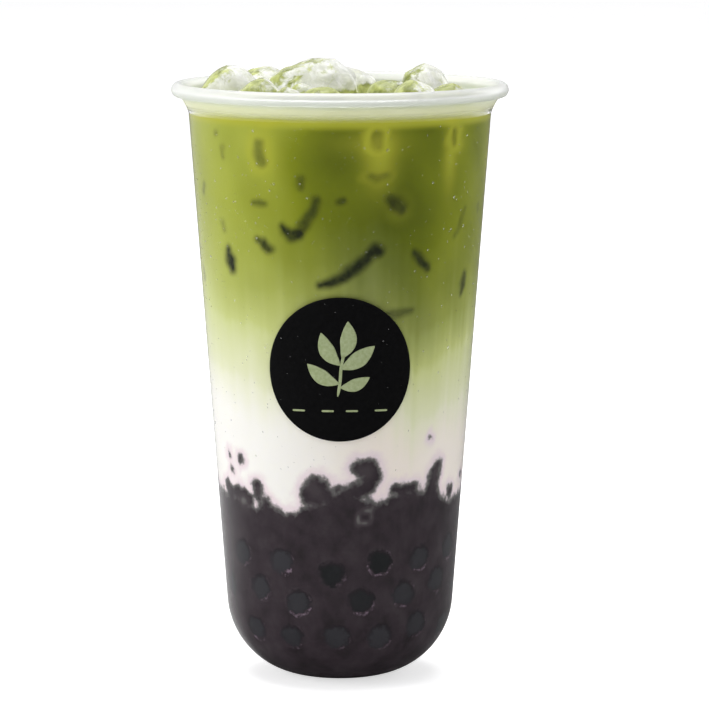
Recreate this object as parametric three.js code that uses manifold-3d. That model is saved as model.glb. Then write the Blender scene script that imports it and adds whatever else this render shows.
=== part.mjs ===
// Iced matcha latte in a clear plastic cup with a round base and a rolled rim.
// Millimetres, +Z up. The origin is the centre of the foot, and the round label faces -Y.
// Angles round the cup are in degrees from -Y, growing towards +X.
import * as THREE from "three";
import { mergeVertices } from "three/addons/utils/BufferGeometryUtils.js";
import Module from "manifold-3d";

const wasm = await Module();
wasm.setup();

// Driving dimensions of the cup
const CUP_HEIGHT = 168;
const RIM_DIAMETER = 95;
const WALL_THICKNESS = 0.9;
const GAUGE_HEIGHT = 154.5;
const GAUGE_RADIUS = 42.15; // outer radius of the wall at the gauge height
const WALL_TAPER = 0.0755; // radius gained for each millimetre of height
const CORNER_RADIUS = 23;
const CORNER_CENTRE_HEIGHT = 22.55;
const FLOOR_HEIGHT = 1.5;
const FOOT_RING_WIDTH = 2.2;
const FOOT_RECESS = 0.6;

// Driving dimensions of the rolled rim, from the crest down and from the outermost edge in
const SKIRT_DEPTH = 3.9;
const SKIRT_INSET = 1.4;
const CREST_INSET = 2.3;
const NECK_DEPTH = 4.4;
const NECK_INSET = 2.85;
const GROOVE_DEPTH = 2.1;
const FLARE_DEPTH = 8.5;

// Levels of the drink
const MASH_LEVEL = 54.5;
const MILK_LEVEL = 98.9;
const MATCHA_LEVEL = 160.6;
const FROTH_LEVEL = 162;
const FROTH_RISE_AT_WALL = 1.6;

// Small things
const PEARL_DIAMETER = 9.6;
const PEARL_STAND_OUT = 1.6; // how far the pearls stand out of the mash
const LABEL_DIAMETER = 40.5;
const LABEL_HEIGHT = 91.4;
const LABEL_THICKNESS = 0.3;

const SEGMENTS = 40;
const BALL_SIDES = 8;
const ICE_DIVISIONS = 3;
const GAP = 0.3;
const CUT_GAP = 0.5; // round a faceted ball or block, whose faces stand nearer than its corners
const MASH_TO_MILK = 0.7; // wider, because the facets of the two uneven faces don't match
const LABEL_STAND = 0.4;

const RIM_RADIUS = RIM_DIAMETER / 2;
const TAPER_ANGLE = Math.atan(WALL_TAPER);
const TANGENT_HEIGHT = CORNER_CENTRE_HEIGHT - CORNER_RADIUS * Math.sin(TAPER_ANGLE);
const CORNER_CENTRE_RADIUS = wallRadius(TANGENT_HEIGHT) - CORNER_RADIUS * Math.cos(TAPER_ANGLE);

const radians = THREE.MathUtils.degToRad;

// Outer radius of the straight wall
function wallRadius(height) {
  return GAUGE_RADIUS - (GAUGE_HEIGHT - height) * WALL_TAPER;
}

// Radius at some depth under the outer surface, round the corner and up the wall
function radiusUnder(depth, height) {
  if (height >= TANGENT_HEIGHT) return wallRadius(height) - depth / Math.cos(TAPER_ANGLE);
  const drop = CORNER_CENTRE_HEIGHT - height;
  return CORNER_CENTRE_RADIUS + Math.sqrt((CORNER_RADIUS - depth) ** 2 - drop ** 2);
}

// Side of a body of revolution at some depth under the outer surface, from low to high
function sideUnder(depth, low, high, cornerSteps) {
  const points = [];
  if (low < TANGENT_HEIGHT) {
    const radius = CORNER_RADIUS - depth;
    const start = Math.asin((CORNER_CENTRE_HEIGHT - low) / radius);
    for (let step = 0; step < cornerSteps; step += 1) {
      const angle = THREE.MathUtils.lerp(start, TAPER_ANGLE, step / cornerSteps);
      points.push([
        CORNER_CENTRE_RADIUS + radius * Math.cos(angle),
        CORNER_CENTRE_HEIGHT - radius * Math.sin(angle),
      ]);
    }
    points.push([radiusUnder(depth, TANGENT_HEIGHT), TANGENT_HEIGHT]);
  } else {
    points.push([radiusUnder(depth, low), low]);
  }
  points.push([radiusUnder(depth, high), high]);
  return points;
}

// Seeded random numbers between 0 and 1
function randomFrom(seed) {
  let state = seed;
  return () => {
    state = (state * 1664525 + 1013904223) % 4294967296;
    return state / 4294967296;
  };
}

function solidFrom(geometry) {
  const bare = geometry.clone();
  bare.deleteAttribute("normal");
  bare.deleteAttribute("uv");
  const merged = mergeVertices(bare, 1e-4);
  return new wasm.Manifold(
    new wasm.Mesh({
      numProp: 3,
      vertProperties: new Float32Array(merged.attributes.position.array),
      triVerts: new Uint32Array(merged.index.array),
    }),
  );
}

// Largest connected piece of a solid, so that no scrap is left by a cut
function largestPiece(solid) {
  const pieces = solid.decompose();
  return pieces.reduce((best, piece) => (piece.volume() > best.volume() ? piece : best));
}

function meshFrom(name, solid, material) {
  const cut = largestPiece(solid).getMesh();
  const geometry = new THREE.BufferGeometry();
  geometry.setAttribute("position", new THREE.BufferAttribute(cut.vertProperties, 3));
  geometry.setIndex(new THREE.BufferAttribute(cut.triVerts, 1));
  geometry.computeVertexNormals();
  const mesh = new THREE.Mesh(geometry, material);
  mesh.name = name;
  return mesh;
}

// Solid of revolution. The profile runs anticlockwise seen with the axis on its left.
// The optional lift(angle, radius, height) raises each vertex along the slant of the wall.
function revolve(profile, lift = () => 0) {
  const points = profile.map(([radius, height]) => new THREE.Vector2(radius, height));
  const geometry = new THREE.LatheGeometry(points, SEGMENTS);
  geometry.rotateX(Math.PI / 2);
  const position = geometry.attributes.position;
  for (let index = 0; index < position.count; index += 1) {
    const x = position.getX(index);
    const y = position.getY(index);
    const z = position.getZ(index);
    const angle = THREE.MathUtils.radToDeg(Math.atan2(x, -y));
    const raised = z + lift(angle, Math.hypot(x, y), z);
    const spread = wallRadius(raised) / wallRadius(z);
    position.setXYZ(index, x * spread, y * spread, raised);
  }
  return solidFrom(geometry);
}

function placed(geometry, x, y, z) {
  geometry.translate(x, y, z);
  return solidFrom(geometry);
}

// Sum of soft swells and hollows round the cup: [angle, rise, half width in degrees]
function swell(list, angle) {
  return list.reduce((sum, [middle, rise, width]) => {
    const off = THREE.MathUtils.euclideanModulo(angle - middle + 180, 360) - 180;
    return sum + rise * Math.exp(-((off / width) ** 2));
  }, 0);
}

// Rim section, outside from the wall up over the crest and down to the inner wall
function rimProfile() {
  const skirtHeight = CUP_HEIGHT - SKIRT_DEPTH;
  const neckHeight = CUP_HEIGHT - NECK_DEPTH;
  const neck = RIM_RADIUS - NECK_INSET;
  const flareHeight = CUP_HEIGHT - FLARE_DEPTH;
  const grooveTop = CUP_HEIGHT - GROOVE_DEPTH;
  return [
    [wallRadius(flareHeight), flareHeight],
    [neck - 1.55, neckHeight - 2.6],
    [neck - 0.7, neckHeight - 1],
    [neck, neckHeight],
    [neck + 0.05, grooveTop],
    [neck + 0.95, grooveTop],
    [RIM_RADIUS - SKIRT_INSET, skirtHeight],
    [RIM_RADIUS - 0.7, skirtHeight + 0.25],
    [RIM_RADIUS - 0.1, skirtHeight + 1.2],
    [RIM_RADIUS, skirtHeight + 2],
    [RIM_RADIUS - 0.35, CUP_HEIGHT - 0.9],
    [RIM_RADIUS - 1.2, CUP_HEIGHT - 0.2],
    [RIM_RADIUS - CREST_INSET, CUP_HEIGHT],
    [RIM_RADIUS - 3.2, CUP_HEIGHT - 0.35],
    [RIM_RADIUS - 3.75, CUP_HEIGHT - 1.5],
    [neck - WALL_THICKNESS, neckHeight],
    [neck - 1.55 - WALL_THICKNESS, neckHeight - 2.5],
    [radiusUnder(WALL_THICKNESS, flareHeight), flareHeight],
  ];
}

function cupSolid() {
  const footRadius = radiusUnder(0, 0);
  const recessRadius = footRadius - FOOT_RING_WIDTH;
  const outside = sideUnder(0, 0, CUP_HEIGHT - FLARE_DEPTH, 7).slice(0, -1);
  const inside = sideUnder(WALL_THICKNESS, FLOOR_HEIGHT, CUP_HEIGHT - FLARE_DEPTH, 6).slice(0, -1);
  return revolve([
    [0, FOOT_RECESS],
    [recessRadius - 1, FOOT_RECESS],
    [recessRadius, 0],
    ...outside,
    ...rimProfile(),
    ...inside.reverse(),
    [0, FLOOR_HEIGHT],
  ]);
}

// Swells and hollows of the mash under the milk
const MASH_SWELLS = [
  [-62, 2, 16],
  [-32, -4.8, 13],
  [-6, 1.6, 9],
  [16, -1.8, 8],
  [36, 2.4, 10],
  [70, -2, 11],
  [104, 2.6, 14],
  [141, -3.2, 12],
  [170, 1.8, 14],
  [207, -2.6, 13],
  [243, 3, 15],
];

// Lumps of mash that stand up in the milk against the wall: [angle, middle height, radius]
const MASH_LUMPS = [
  [-63, 53.4, 3.4],
  [-13.5, 57, 3.8],
  [7.5, 62.4, 3],
  [12.5, 62.2, 3.9],
  [14.5, 55.8, 3.6],
  [33, 54.6, 3.4],
  [48, 57, 2.8],
  [50.5, 60.6, 2.7],
  [101, 57.6, 3.8],
  [168, 57, 4],
  [236, 57.6, 3.9],
];

const LIFT_START = 42; // the mash's side is straight below this height
const MILK_LIFT_END = 72; // and the milk's side above this one

function mashLift(angle, radius, height) {
  const share = THREE.MathUtils.clamp((height - LIFT_START) / (MASH_LEVEL - LIFT_START), 0, 1);
  return share * (radius / wallRadius(MASH_LEVEL)) ** 2 * swell(MASH_SWELLS, angle);
}

function milkLift(angle, radius, height) {
  const share = (MILK_LIFT_END - height) / (MILK_LIFT_END - MASH_LEVEL - MASH_TO_MILK);
  const bounded = THREE.MathUtils.clamp(share, 0, 1);
  return bounded * (radius / wallRadius(MASH_LEVEL)) ** 2 * swell(MASH_SWELLS, angle);
}

// Pearls against the wall, in three rows: the seen ones by angle, the rest evenly round the back
const PEARL_ROWS = [
  { height: 36.4, seen: [-56, -30, -4, 20, 43, 67], behind: 8 },
  { height: 27, seen: [-71, -43, -21, 11, 34, 57], behind: 8 },
  { height: 15.8, seen: [-50, -26, -1.5, 21.5, 43], behind: 9 },
];
const PEARL_HEIGHT_SCATTER = 2.2;

function pearlPlaces() {
  const random = randomFrom(11);
  const places = [];
  for (const row of PEARL_ROWS) {
    const first = row.seen.at(-1);
    const step = (360 + row.seen[0] - first) / (row.behind + 1);
    const hidden = Array.from({ length: row.behind }, (_, index) => first + step * (index + 1));
    for (const angle of [...row.seen, ...hidden]) {
      places.push([angle, row.height + (random() - 0.5) * PEARL_HEIGHT_SCATTER]);
    }
  }
  return places;
}

// A ball with few sides, one pole of which touches the wall's inside at some depth
function ballAtWall(angle, height, radius, depth) {
  const middle = radiusUnder(depth + radius, height);
  const ball = new THREE.SphereGeometry(radius, BALL_SIDES, BALL_SIDES / 2);
  ball.rotateZ(radians(angle));
  return placed(ball, middle * Math.sin(radians(angle)), -middle * Math.cos(radians(angle)), height);
}

const CONTENTS_DEPTH = WALL_THICKNESS + GAP;
const BALL_DEPTH = CONTENTS_DEPTH + 0.1;
const CORE_DEPTH = CONTENTS_DEPTH + PEARL_STAND_OUT;

function mashSolid() {
  const floor = FLOOR_HEIGHT + GAP;
  const side = sideUnder(CORE_DEPTH, floor + PEARL_STAND_OUT, LIFT_START, 5);
  const core = revolve(
    [
      [0, floor],
      [radiusUnder(CORE_DEPTH, floor + PEARL_STAND_OUT) - 4, floor],
      ...side,
      [radiusUnder(CORE_DEPTH, MASH_LEVEL), MASH_LEVEL],
      [25, MASH_LEVEL],
      [15, MASH_LEVEL],
      [0, MASH_LEVEL],
    ],
    mashLift,
  );
  const balls = pearlPlaces().map(([angle, height]) =>
    ballAtWall(angle, height, PEARL_DIAMETER / 2, BALL_DEPTH),
  );
  const lumps = MASH_LUMPS.map(([angle, height, radius]) =>
    ballAtWall(angle, height, radius, BALL_DEPTH),
  );
  return [...balls, ...lumps].reduce((whole, piece) => whole.add(piece), core);
}

function milkSolid() {
  const bottom = MASH_LEVEL + MASH_TO_MILK;
  const layer = revolve(
    [
      [0, bottom],
      [15, bottom],
      [25, bottom],
      [radiusUnder(CORE_DEPTH, bottom), bottom],
      [radiusUnder(CONTENTS_DEPTH, bottom), bottom],
      [radiusUnder(CONTENTS_DEPTH, MILK_LIFT_END), MILK_LIFT_END],
      [radiusUnder(CONTENTS_DEPTH, MILK_LEVEL), MILK_LEVEL],
      [0, MILK_LEVEL],
    ],
    milkLift,
  );
  return MASH_LUMPS.reduce(
    (rest, [angle, height, radius]) =>
      rest.subtract(ballAtWall(angle, height, radius + CUT_GAP, BALL_DEPTH - CUT_GAP)),
    layer,
  );
}

// Ice blocks that stand out of the drink: middle, half sizes, turns about X, Y and Z in degrees,
// and the exponent of their rounded-box form
const ICE = [
  { name: "ice_large_middle", at: [-8.2, 7, 160.4], half: [15.4, 10, 13], turn: [6, -18, 0], round: 2.6 },
  { name: "ice_left", at: [-31.6, -3, 163.2], half: [9.5, 8, 7.5], turn: [0, -48, 8], round: 3.4 },
  { name: "ice_right", at: [25.3, 2, 163.2], half: [9.6, 9, 6.2], turn: [0, 64, -6], round: 3.2 },
  { name: "ice_front_left", at: [-25, -20, 161.6], half: [5.6, 7, 11], turn: [0, 45, 0], round: 2.6 },
  { name: "ice_front_right", at: [19.4, -23.5, 161], half: [6, 7.5, 9.5], turn: [0, 22, 10], round: 2.8 },
  { name: "ice_front_middle", at: [-5.2, -29, 162], half: [6.3, 6.5, 6.4], turn: [0, -10, 20], round: 2.6 },
  { name: "ice_small_left", at: [-15.6, -29, 160], half: [4.7, 5, 9.4], turn: [0, 22, 0], round: 2.8 },
  { name: "ice_between", at: [-12.2, -12.5, 159.6], half: [4.6, 5, 10.4], turn: [0, 24, -12], round: 2.8 },
  { name: "ice_middle_right", at: [13.6, -8, 161.4], half: [7, 6, 7.6], turn: [0, 10, 14], round: 2.8 },
  { name: "ice_edge_right", at: [31, -12.5, 160], half: [6, 6.4, 8.2], turn: [0, -20, 10], round: 2.6 },
  { name: "ice_back_left", at: [-22.5, 21.5, 160.6], half: [9.6, 9, 9.2], turn: [14, -25, 30], round: 3 },
  { name: "ice_back", at: [0.6, 29, 160.8], half: [11, 8.8, 8.8], turn: [-12, 12, -5], round: 3 },
];

function iceSolid(piece, grow) {
  const divisions = ICE_DIVISIONS;
  const geometry = new THREE.BoxGeometry(2, 2, 2, divisions, divisions, divisions);
  const [halfX, halfY, halfZ] = piece.half;
  const position = geometry.attributes.position;
  for (let index = 0; index < position.count; index += 1) {
    const way = new THREE.Vector3().fromBufferAttribute(position, index).normalize();
    const reach =
      Math.abs(way.x / halfX) ** piece.round +
      Math.abs(way.y / halfY) ** piece.round +
      Math.abs(way.z / halfZ) ** piece.round;
    way.multiplyScalar(reach ** (-1 / piece.round) + grow);
    position.setXYZ(index, way.x, way.y, way.z);
  }
  const [turnX, turnY, turnZ] = piece.turn.map(radians);
  geometry.applyMatrix4(new THREE.Matrix4().makeRotationFromEuler(new THREE.Euler(turnX, turnY, turnZ)));
  return placed(geometry, ...piece.at);
}

// Inner room of the cup above the milk, less a gap: ice is cut to it
function roomSolid() {
  const flareHeight = CUP_HEIGHT - FLARE_DEPTH;
  const top = CUP_HEIGHT + 20;
  return revolve([
    [0, MILK_LEVEL],
    ...sideUnder(CONTENTS_DEPTH, MILK_LEVEL, flareHeight, 0),
    [radiusUnder(CONTENTS_DEPTH, flareHeight), top],
    [0, top],
  ]);
}

// Each block is cut clear of those before it in the list
function iceSolids() {
  const room = roomSolid();
  return ICE.map((piece, index) =>
    ICE.slice(0, index).reduce(
      (rest, earlier) => rest.subtract(iceSolid(earlier, CUT_GAP)),
      iceSolid(piece, 0).intersect(room),
    ),
  );
}

function clearOfIce(solid) {
  return ICE.reduce((rest, piece) => rest.subtract(iceSolid(piece, CUT_GAP)), solid);
}

function matchaSolid() {
  const bottom = MILK_LEVEL + GAP;
  return clearOfIce(
    revolve([[0, bottom], ...sideUnder(CONTENTS_DEPTH, bottom, MATCHA_LEVEL, 0), [0, MATCHA_LEVEL]]),
  );
}

// The froth is thick where it hangs on the wall, in a hump at 32 degrees, and thin at 63
const FROTH_SWELLS = [
  [5, -0.6, 12],
  [32, 1.6, 10],
  [63, -2, 10],
  [140, -1.7, 24],
  [210, 0.7, 20],
  [290, 0.5, 20],
];

function frothLift(angle, radius, height) {
  if (height < FROTH_LEVEL) return 0;
  const reach = THREE.MathUtils.smoothstep(radius, 30, 41);
  return reach * (FROTH_RISE_AT_WALL + swell(FROTH_SWELLS, angle)) - (1 - reach) * 0.3;
}

function frothSolid() {
  const bottom = MATCHA_LEVEL + GAP;
  const foot = radiusUnder(CONTENTS_DEPTH, bottom);
  return clearOfIce(
    revolve(
      [
        [0, bottom],
        [foot, bottom],
        [foot + 0.2, FROTH_LEVEL],
        [39, FROTH_LEVEL],
        [34, FROTH_LEVEL],
        [0, FROTH_LEVEL],
      ],
      frothLift,
    ),
  );
}

// Round label that follows the wall, as rings of points out from its middle
function labelSolid() {
  const rings = 4;
  const spokes = 36;
  const faces = [LABEL_STAND, LABEL_STAND + LABEL_THICKNESS];
  const positions = [];
  const index = [];
  const perFace = 1 + rings * spokes;
  for (const stand of faces) {
    for (let ring = 0; ring <= rings; ring += 1) {
      for (let spoke = 0; spoke < (ring === 0 ? 1 : spokes); spoke += 1) {
        const out = (LABEL_DIAMETER / 2) * (ring / rings);
        const turn = (spoke / spokes) * Math.PI * 2;
        const height = LABEL_HEIGHT + out * Math.sin(turn) * Math.cos(TAPER_ANGLE);
        const radius = wallRadius(height) + stand;
        const angle = (out * Math.cos(turn)) / wallRadius(height);
        positions.push(radius * Math.sin(angle), -radius * Math.cos(angle), height);
      }
    }
  }
  const at = (face, ring, spoke) =>
    face * perFace + (ring === 0 ? 0 : 1 + (ring - 1) * spokes + (spoke % spokes));
  for (let spoke = 0; spoke < spokes; spoke += 1) {
    const next = spoke + 1;
    index.push(at(1, 0, 0), at(1, 1, spoke), at(1, 1, next));
    index.push(at(0, 0, 0), at(0, 1, next), at(0, 1, spoke));
    for (let ring = 1; ring < rings; ring += 1) {
      index.push(at(1, ring, spoke), at(1, ring + 1, spoke), at(1, ring + 1, next));
      index.push(at(1, ring, spoke), at(1, ring + 1, next), at(1, ring, next));
      index.push(at(0, ring, spoke), at(0, ring + 1, next), at(0, ring + 1, spoke));
      index.push(at(0, ring, spoke), at(0, ring, next), at(0, ring + 1, next));
    }
    index.push(at(0, rings, spoke), at(1, rings, next), at(1, rings, spoke));
    index.push(at(0, rings, spoke), at(0, rings, next), at(1, rings, next));
  }
  const geometry = new THREE.BufferGeometry();
  geometry.setAttribute("position", new THREE.Float32BufferAttribute(positions, 3));
  geometry.setIndex(index);
  return solidFrom(geometry);
}

function finish(color, roughness, opacity = 1) {
  return new THREE.MeshStandardMaterial({
    color,
    roughness,
    metalness: 0,
    opacity,
    transparent: opacity < 1,
  });
}

const clearPlastic = finish(0xf4f6f5, 0.08, 0.3);
const blackPaper = finish(0x131313, 0.45);
const purpleMash = finish(0x3b3338, 0.5);
const whiteMilk = finish(0xf3efe8, 0.35);
const greenMatcha = finish(0x8c9430, 0.35);
const paleFroth = finish(0xc6c58c, 0.6);
const greenIce = finish(0xdfe5c4, 0.1, 0.6);

const latte = new THREE.Group();
latte.name = "iced_matcha_latte";
latte.add(
  meshFrom("cup", cupSolid(), clearPlastic),
  meshFrom("label", labelSolid(), blackPaper),
  meshFrom("pearl_mash", mashSolid(), purpleMash),
  meshFrom("milk_layer", milkSolid(), whiteMilk),
  meshFrom("matcha_layer", matchaSolid(), greenMatcha),
  meshFrom("froth", frothSolid(), paleFroth),
);
iceSolids().forEach((solid, index) => {
  latte.add(meshFrom(ICE[index].name, solid, greenIce));
});

export default latte;
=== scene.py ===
"""Iced matcha latte in a clear cup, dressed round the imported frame.

Lengths are millimetres until mesh_object() makes them metres, and lamps and camera are in metres.
Angles round the cup are degrees from the front, growing towards +X. A depth is measured inwards from
the cup's outer surface.
"""
import functools
import math

import bmesh
import bpy
import numpy as np
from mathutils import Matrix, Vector, noise


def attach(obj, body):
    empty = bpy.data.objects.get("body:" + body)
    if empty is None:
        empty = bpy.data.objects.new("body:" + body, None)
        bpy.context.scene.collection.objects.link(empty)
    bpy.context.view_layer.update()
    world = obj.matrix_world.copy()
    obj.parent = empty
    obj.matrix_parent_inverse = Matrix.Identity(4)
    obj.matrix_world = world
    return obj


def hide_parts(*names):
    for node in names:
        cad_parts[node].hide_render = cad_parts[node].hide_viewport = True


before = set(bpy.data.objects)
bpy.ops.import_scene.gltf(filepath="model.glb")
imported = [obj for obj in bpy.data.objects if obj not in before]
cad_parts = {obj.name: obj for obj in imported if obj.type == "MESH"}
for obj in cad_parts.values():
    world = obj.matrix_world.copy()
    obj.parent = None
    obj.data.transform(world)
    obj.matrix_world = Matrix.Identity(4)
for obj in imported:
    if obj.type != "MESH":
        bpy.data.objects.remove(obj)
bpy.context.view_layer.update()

MM = 0.001

# Cup, in the values of the part's own source
CUP_HEIGHT = 168.0
RIM_RADIUS = 47.5
WALL_THICKNESS = 0.9
GAUGE_HEIGHT = 154.5
GAUGE_RADIUS = 42.15
WALL_TAPER = 0.0755
CORNER_RADIUS = 23.0
CORNER_CENTRE_HEIGHT = 22.55
FLOOR_HEIGHT = 1.5
FOOT_RING_WIDTH = 2.2
FOOT_RECESS = 0.6
SKIRT_DEPTH = 3.9
SKIRT_INSET = 1.4
CREST_INSET = 2.3
NECK_DEPTH = 4.4
NECK_INSET = 2.85
GROOVE_DEPTH = 2.1
FLARE_HEIGHT = CUP_HEIGHT - 8.5
CUP_COLUMNS = 256

# Levels of the drink
MASH_LEVEL = 54.5
MATCHA_LEVEL = 160.6
FROTH_LEVEL = 162.0
FROTH_RISE_AT_WALL = 1.9

# How deep each kind of content lies under the cup's outer surface, so that none leaves an air gap
LENS_EDGE_DEPTH = 0.86
DRINK_DEPTH = 0.84
FROTH_DEPTH = 0.82
CHUNK_DEPTH = 0.78
MASH_DEPTH = 0.76
PEARL_DEPTH = 0.72
SEAM_DEPTH = 0.66

TAPER_ANGLE = math.atan(WALL_TAPER)


def wall_radius(height):
    """Outer radius of the straight wall."""
    return GAUGE_RADIUS - (GAUGE_HEIGHT - height) * WALL_TAPER


TANGENT_HEIGHT = CORNER_CENTRE_HEIGHT - CORNER_RADIUS * math.sin(TAPER_ANGLE)
CORNER_CENTRE_RADIUS = wall_radius(TANGENT_HEIGHT) - CORNER_RADIUS * math.cos(TAPER_ANGLE)


def radius_under(depth, height):
    """Radius at some depth under the outer surface, round the corner and up the wall."""
    height = np.asarray(height, float)
    straight = wall_radius(height) - depth / math.cos(TAPER_ANGLE)
    drop = CORNER_CENTRE_HEIGHT - height
    reach = np.maximum((CORNER_RADIUS - depth) ** 2 - drop ** 2, 0.0)
    return np.where(height >= TANGENT_HEIGHT, straight, CORNER_CENTRE_RADIUS + np.sqrt(reach))


def at_angle(angle, radius, height):
    """Points from angle, radius and height."""
    turn = np.radians(angle)
    parts = np.broadcast_arrays(radius * np.sin(turn), -radius * np.cos(turn), height)
    return np.stack(parts, axis=-1).astype(float)


def on_wall(angle, height, depth):
    return at_angle(angle, radius_under(depth, height), height)


def round_cup(count):
    """Even angles round the cup, in degrees."""
    return np.arange(count) * 360.0 / count


def full_turn(count):
    """Even angles of a full turn, in radians."""
    return np.arange(count) * 2 * math.pi / count


def smooth_step(low, high, value):
    share = np.clip((value - low) / (high - low), 0.0, 1.0)
    return share * share * (3 - 2 * share)


def wrapped(angle):
    return (angle + 180.0) % 360.0 - 180.0


def swell(swells, angle):
    """Sum of soft swells and hollows round the cup: middle, rise, half width in degrees."""
    return sum(rise * np.exp(-((wrapped(angle - middle) / width) ** 2)) for middle, rise, width in swells)


def patches(spots, angle, height):
    """Sum of soft spots on the wall: angle, height, half width in degrees, half height, amount."""
    return sum(
        amount * np.exp(-((wrapped(angle - middle) / wide) ** 2) - ((height - level) / tall) ** 2)
        for middle, level, wide, tall, amount in spots
    )


def ripple(angle, height, seed, waves, turns, tall):
    """Smooth random waves that close round the cup, about -1 to 1."""
    random = np.random.default_rng(seed)
    total = np.zeros(np.broadcast(angle, height).shape)
    for _ in range(waves):
        count = random.integers(1, turns + 1)
        slope = random.uniform(-1, 1) * 2 * math.pi / tall
        total = total + np.cos(np.radians(angle) * count + height * slope + random.uniform(0, 2 * math.pi))
    return total * math.sqrt(2 / waves) * 0.5


# Lines of points

def eased(points, rounds):
    """Cuts the corners of an open line of points, and keeps its ends."""
    for _ in range(rounds):
        first, second = points[:-1], points[1:]
        pair = [first * 0.75 + second * 0.25, first * 0.25 + second * 0.75]
        middle = np.stack(pair, axis=1).reshape(-1, points.shape[1])
        points = np.concatenate([points[:1], middle, points[-1:]])
    return points


def length_along(line):
    return np.r_[0, np.cumsum(np.linalg.norm(np.diff(line, axis=0), axis=1))]


def point_along(where, gaps, line):
    return np.stack([np.interp(where, gaps, line[:, axis]) for axis in (0, 1)], axis=1)


def unit(ways):
    return ways / np.linalg.norm(ways, axis=1, keepdims=True)


def sideways(ways):
    return np.stack([-ways[:, 1], ways[:, 0]], axis=1)


# Meshes

def mesh_object(name, points, faces, smooth=True):
    """An object from points in millimetres."""
    mesh = bpy.data.meshes.new(name)
    mesh.from_pydata((np.asarray(points) * MM).tolist(), [], [tuple(face) for face in faces])
    mesh.validate()
    mesh.polygons.foreach_set("use_smooth", [smooth] * len(mesh.polygons))
    mesh.update()
    return linked(name, mesh)


def linked(name, data):
    made = bpy.data.objects.new(name, data)
    bpy.context.scene.collection.objects.link(made)
    return made


def outward(piece):
    """Turns the faces of each closed part outwards."""
    work = bmesh.new()
    work.from_mesh(piece.data)
    bmesh.ops.recalc_face_normals(work, faces=work.faces)
    work.to_mesh(piece.data)
    work.free()


def ring_faces(rows, columns):
    """Quads between rings of points, from one ring to the next."""
    row = np.arange(rows - 1)[:, None] * columns
    column = np.arange(columns)[None, :]
    following = (column + 1) % columns
    corners = [row + column, row + following, row + columns + following, row + columns + column]
    return np.stack(np.broadcast_arrays(*corners), axis=-1).reshape(-1, 4).tolist()


def capped(points):
    """Points and faces of rings of points, shape (rows, columns, 3), closed by a fan at both ends."""
    rows, columns, _ = points.shape
    faces = ring_faces(rows, columns)
    flat = points.reshape(-1, 3)
    low, high = len(flat), len(flat) + 1
    last = (rows - 1) * columns
    for column in range(columns):
        following = (column + 1) % columns
        faces.append([low, following, column])
        faces.append([high, last + column, last + following])
    ends = np.stack([points[0].mean(axis=0), points[-1].mean(axis=0)])
    return np.concatenate([flat, ends]), faces


def lathed(name, columns, line):
    """A closed piece from a line of (radius, height), turned round the cup's axis."""
    points = at_angle(round_cup(columns)[None, :], line[:, :1], line[:, 1:])
    return mesh_object(name, *capped(points))


def ringed(name, turn, rows):
    """A closed piece from rows of (radius, height), each given at every angle of turn."""
    return mesh_object(name, *capped(np.stack([at_angle(turn, *row) for row in rows])))


def values_of(piece, name, values):
    """Stores one number for each point, for the materials to read."""
    kept = piece.data.attributes.new(name, "FLOAT", "POINT")
    kept.data.foreach_set("value", np.asarray(values, np.float32).ravel())


def read_points(piece, kind):
    flat = np.zeros(len(piece.data.vertices) * 3)
    piece.data.vertices.foreach_get(kind, flat)
    return flat.reshape(-1, 3)


def points_of(piece):
    return read_points(piece, "co") / MM


def place_of(piece):
    """Angle, radius and height of each point."""
    points = points_of(piece)
    angle = np.degrees(np.arctan2(points[:, 0], -points[:, 1]))
    return angle, np.hypot(points[:, 0], points[:, 1]), points[:, 2]


def bake_modifiers(piece):
    bpy.context.view_layer.update()
    graph = bpy.context.evaluated_depsgraph_get()
    mesh = bpy.data.meshes.new_from_object(piece.evaluated_get(graph))
    old = piece.data
    piece.modifiers.clear()
    piece.data = mesh
    bpy.data.meshes.remove(old)


class Heap:
    """Gathers the points, faces and point values of a piece that is joined from many parts."""

    def __init__(self):
        self.points = []
        self.faces = []
        self.values = {}
        self.count = 0

    def add(self, points, faces, **values):
        self.faces.extend([[corner + self.count for corner in face] for face in faces])
        self.points.append(points)
        self.count += len(points)
        for name, value in values.items():
            self.values.setdefault(name, []).append(np.broadcast_to(value, (len(points),)))

    def build(self, name):
        piece = mesh_object(name, np.concatenate(self.points), self.faces)
        outward(piece)
        for key, parts in self.values.items():
            values_of(piece, key, np.concatenate(parts))
        return piece


def flatten_backs(piece):
    """Shades the faces that look inwards flat, so that they don't tilt the light at the outline."""
    for polygon in piece.data.polygons:
        x, y, _ = polygon.center
        if polygon.normal.x * x + polygon.normal.y * y < 0.5 * math.hypot(x, y):
            polygon.use_smooth = False


def dress(piece, look, slot, *replaced):
    """Gives a finished piece its material and body, and hides the nodes that it stands for; slot is not used.
    """
    piece.data.materials.clear()
    piece.data.materials.append(material_from(look))
    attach(piece, "root")
    if replaced:
        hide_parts(*replaced)


# Material helpers

@functools.cache
def material_from(look):
    """The material with the name of a function and the shader that the function makes."""
    material = bpy.data.materials.new(look.__name__)
    material.use_nodes = True
    tree = material.node_tree
    tree.nodes.clear()
    put(tree, "OutputMaterial", {"Surface": look(tree)})
    return material


def put(tree, kind, inputs=None, **settings):
    """Adds a node, with values or links for its sockets."""
    made = tree.nodes.new("ShaderNode" + kind)
    for key, value in settings.items():
        setattr(made, key, value)
    for key, value in (inputs or {}).items():
        socket = made.inputs[key]
        if isinstance(value, bpy.types.NodeSocket):
            tree.links.new(value, socket)
        else:
            socket.default_value = (*value, 1.0) if socket.type == "RGBA" else value
    return made


def grey(tone):
    return (tone, tone, tone)


def maths(tree, operation, first, second, clamp=False):
    return put(tree, "Math", {0: first, 1: second}, operation=operation, use_clamp=clamp).outputs[0]


def added(tree, first, second, clamp=False):
    return maths(tree, "ADD", first, second, clamp)


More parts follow.
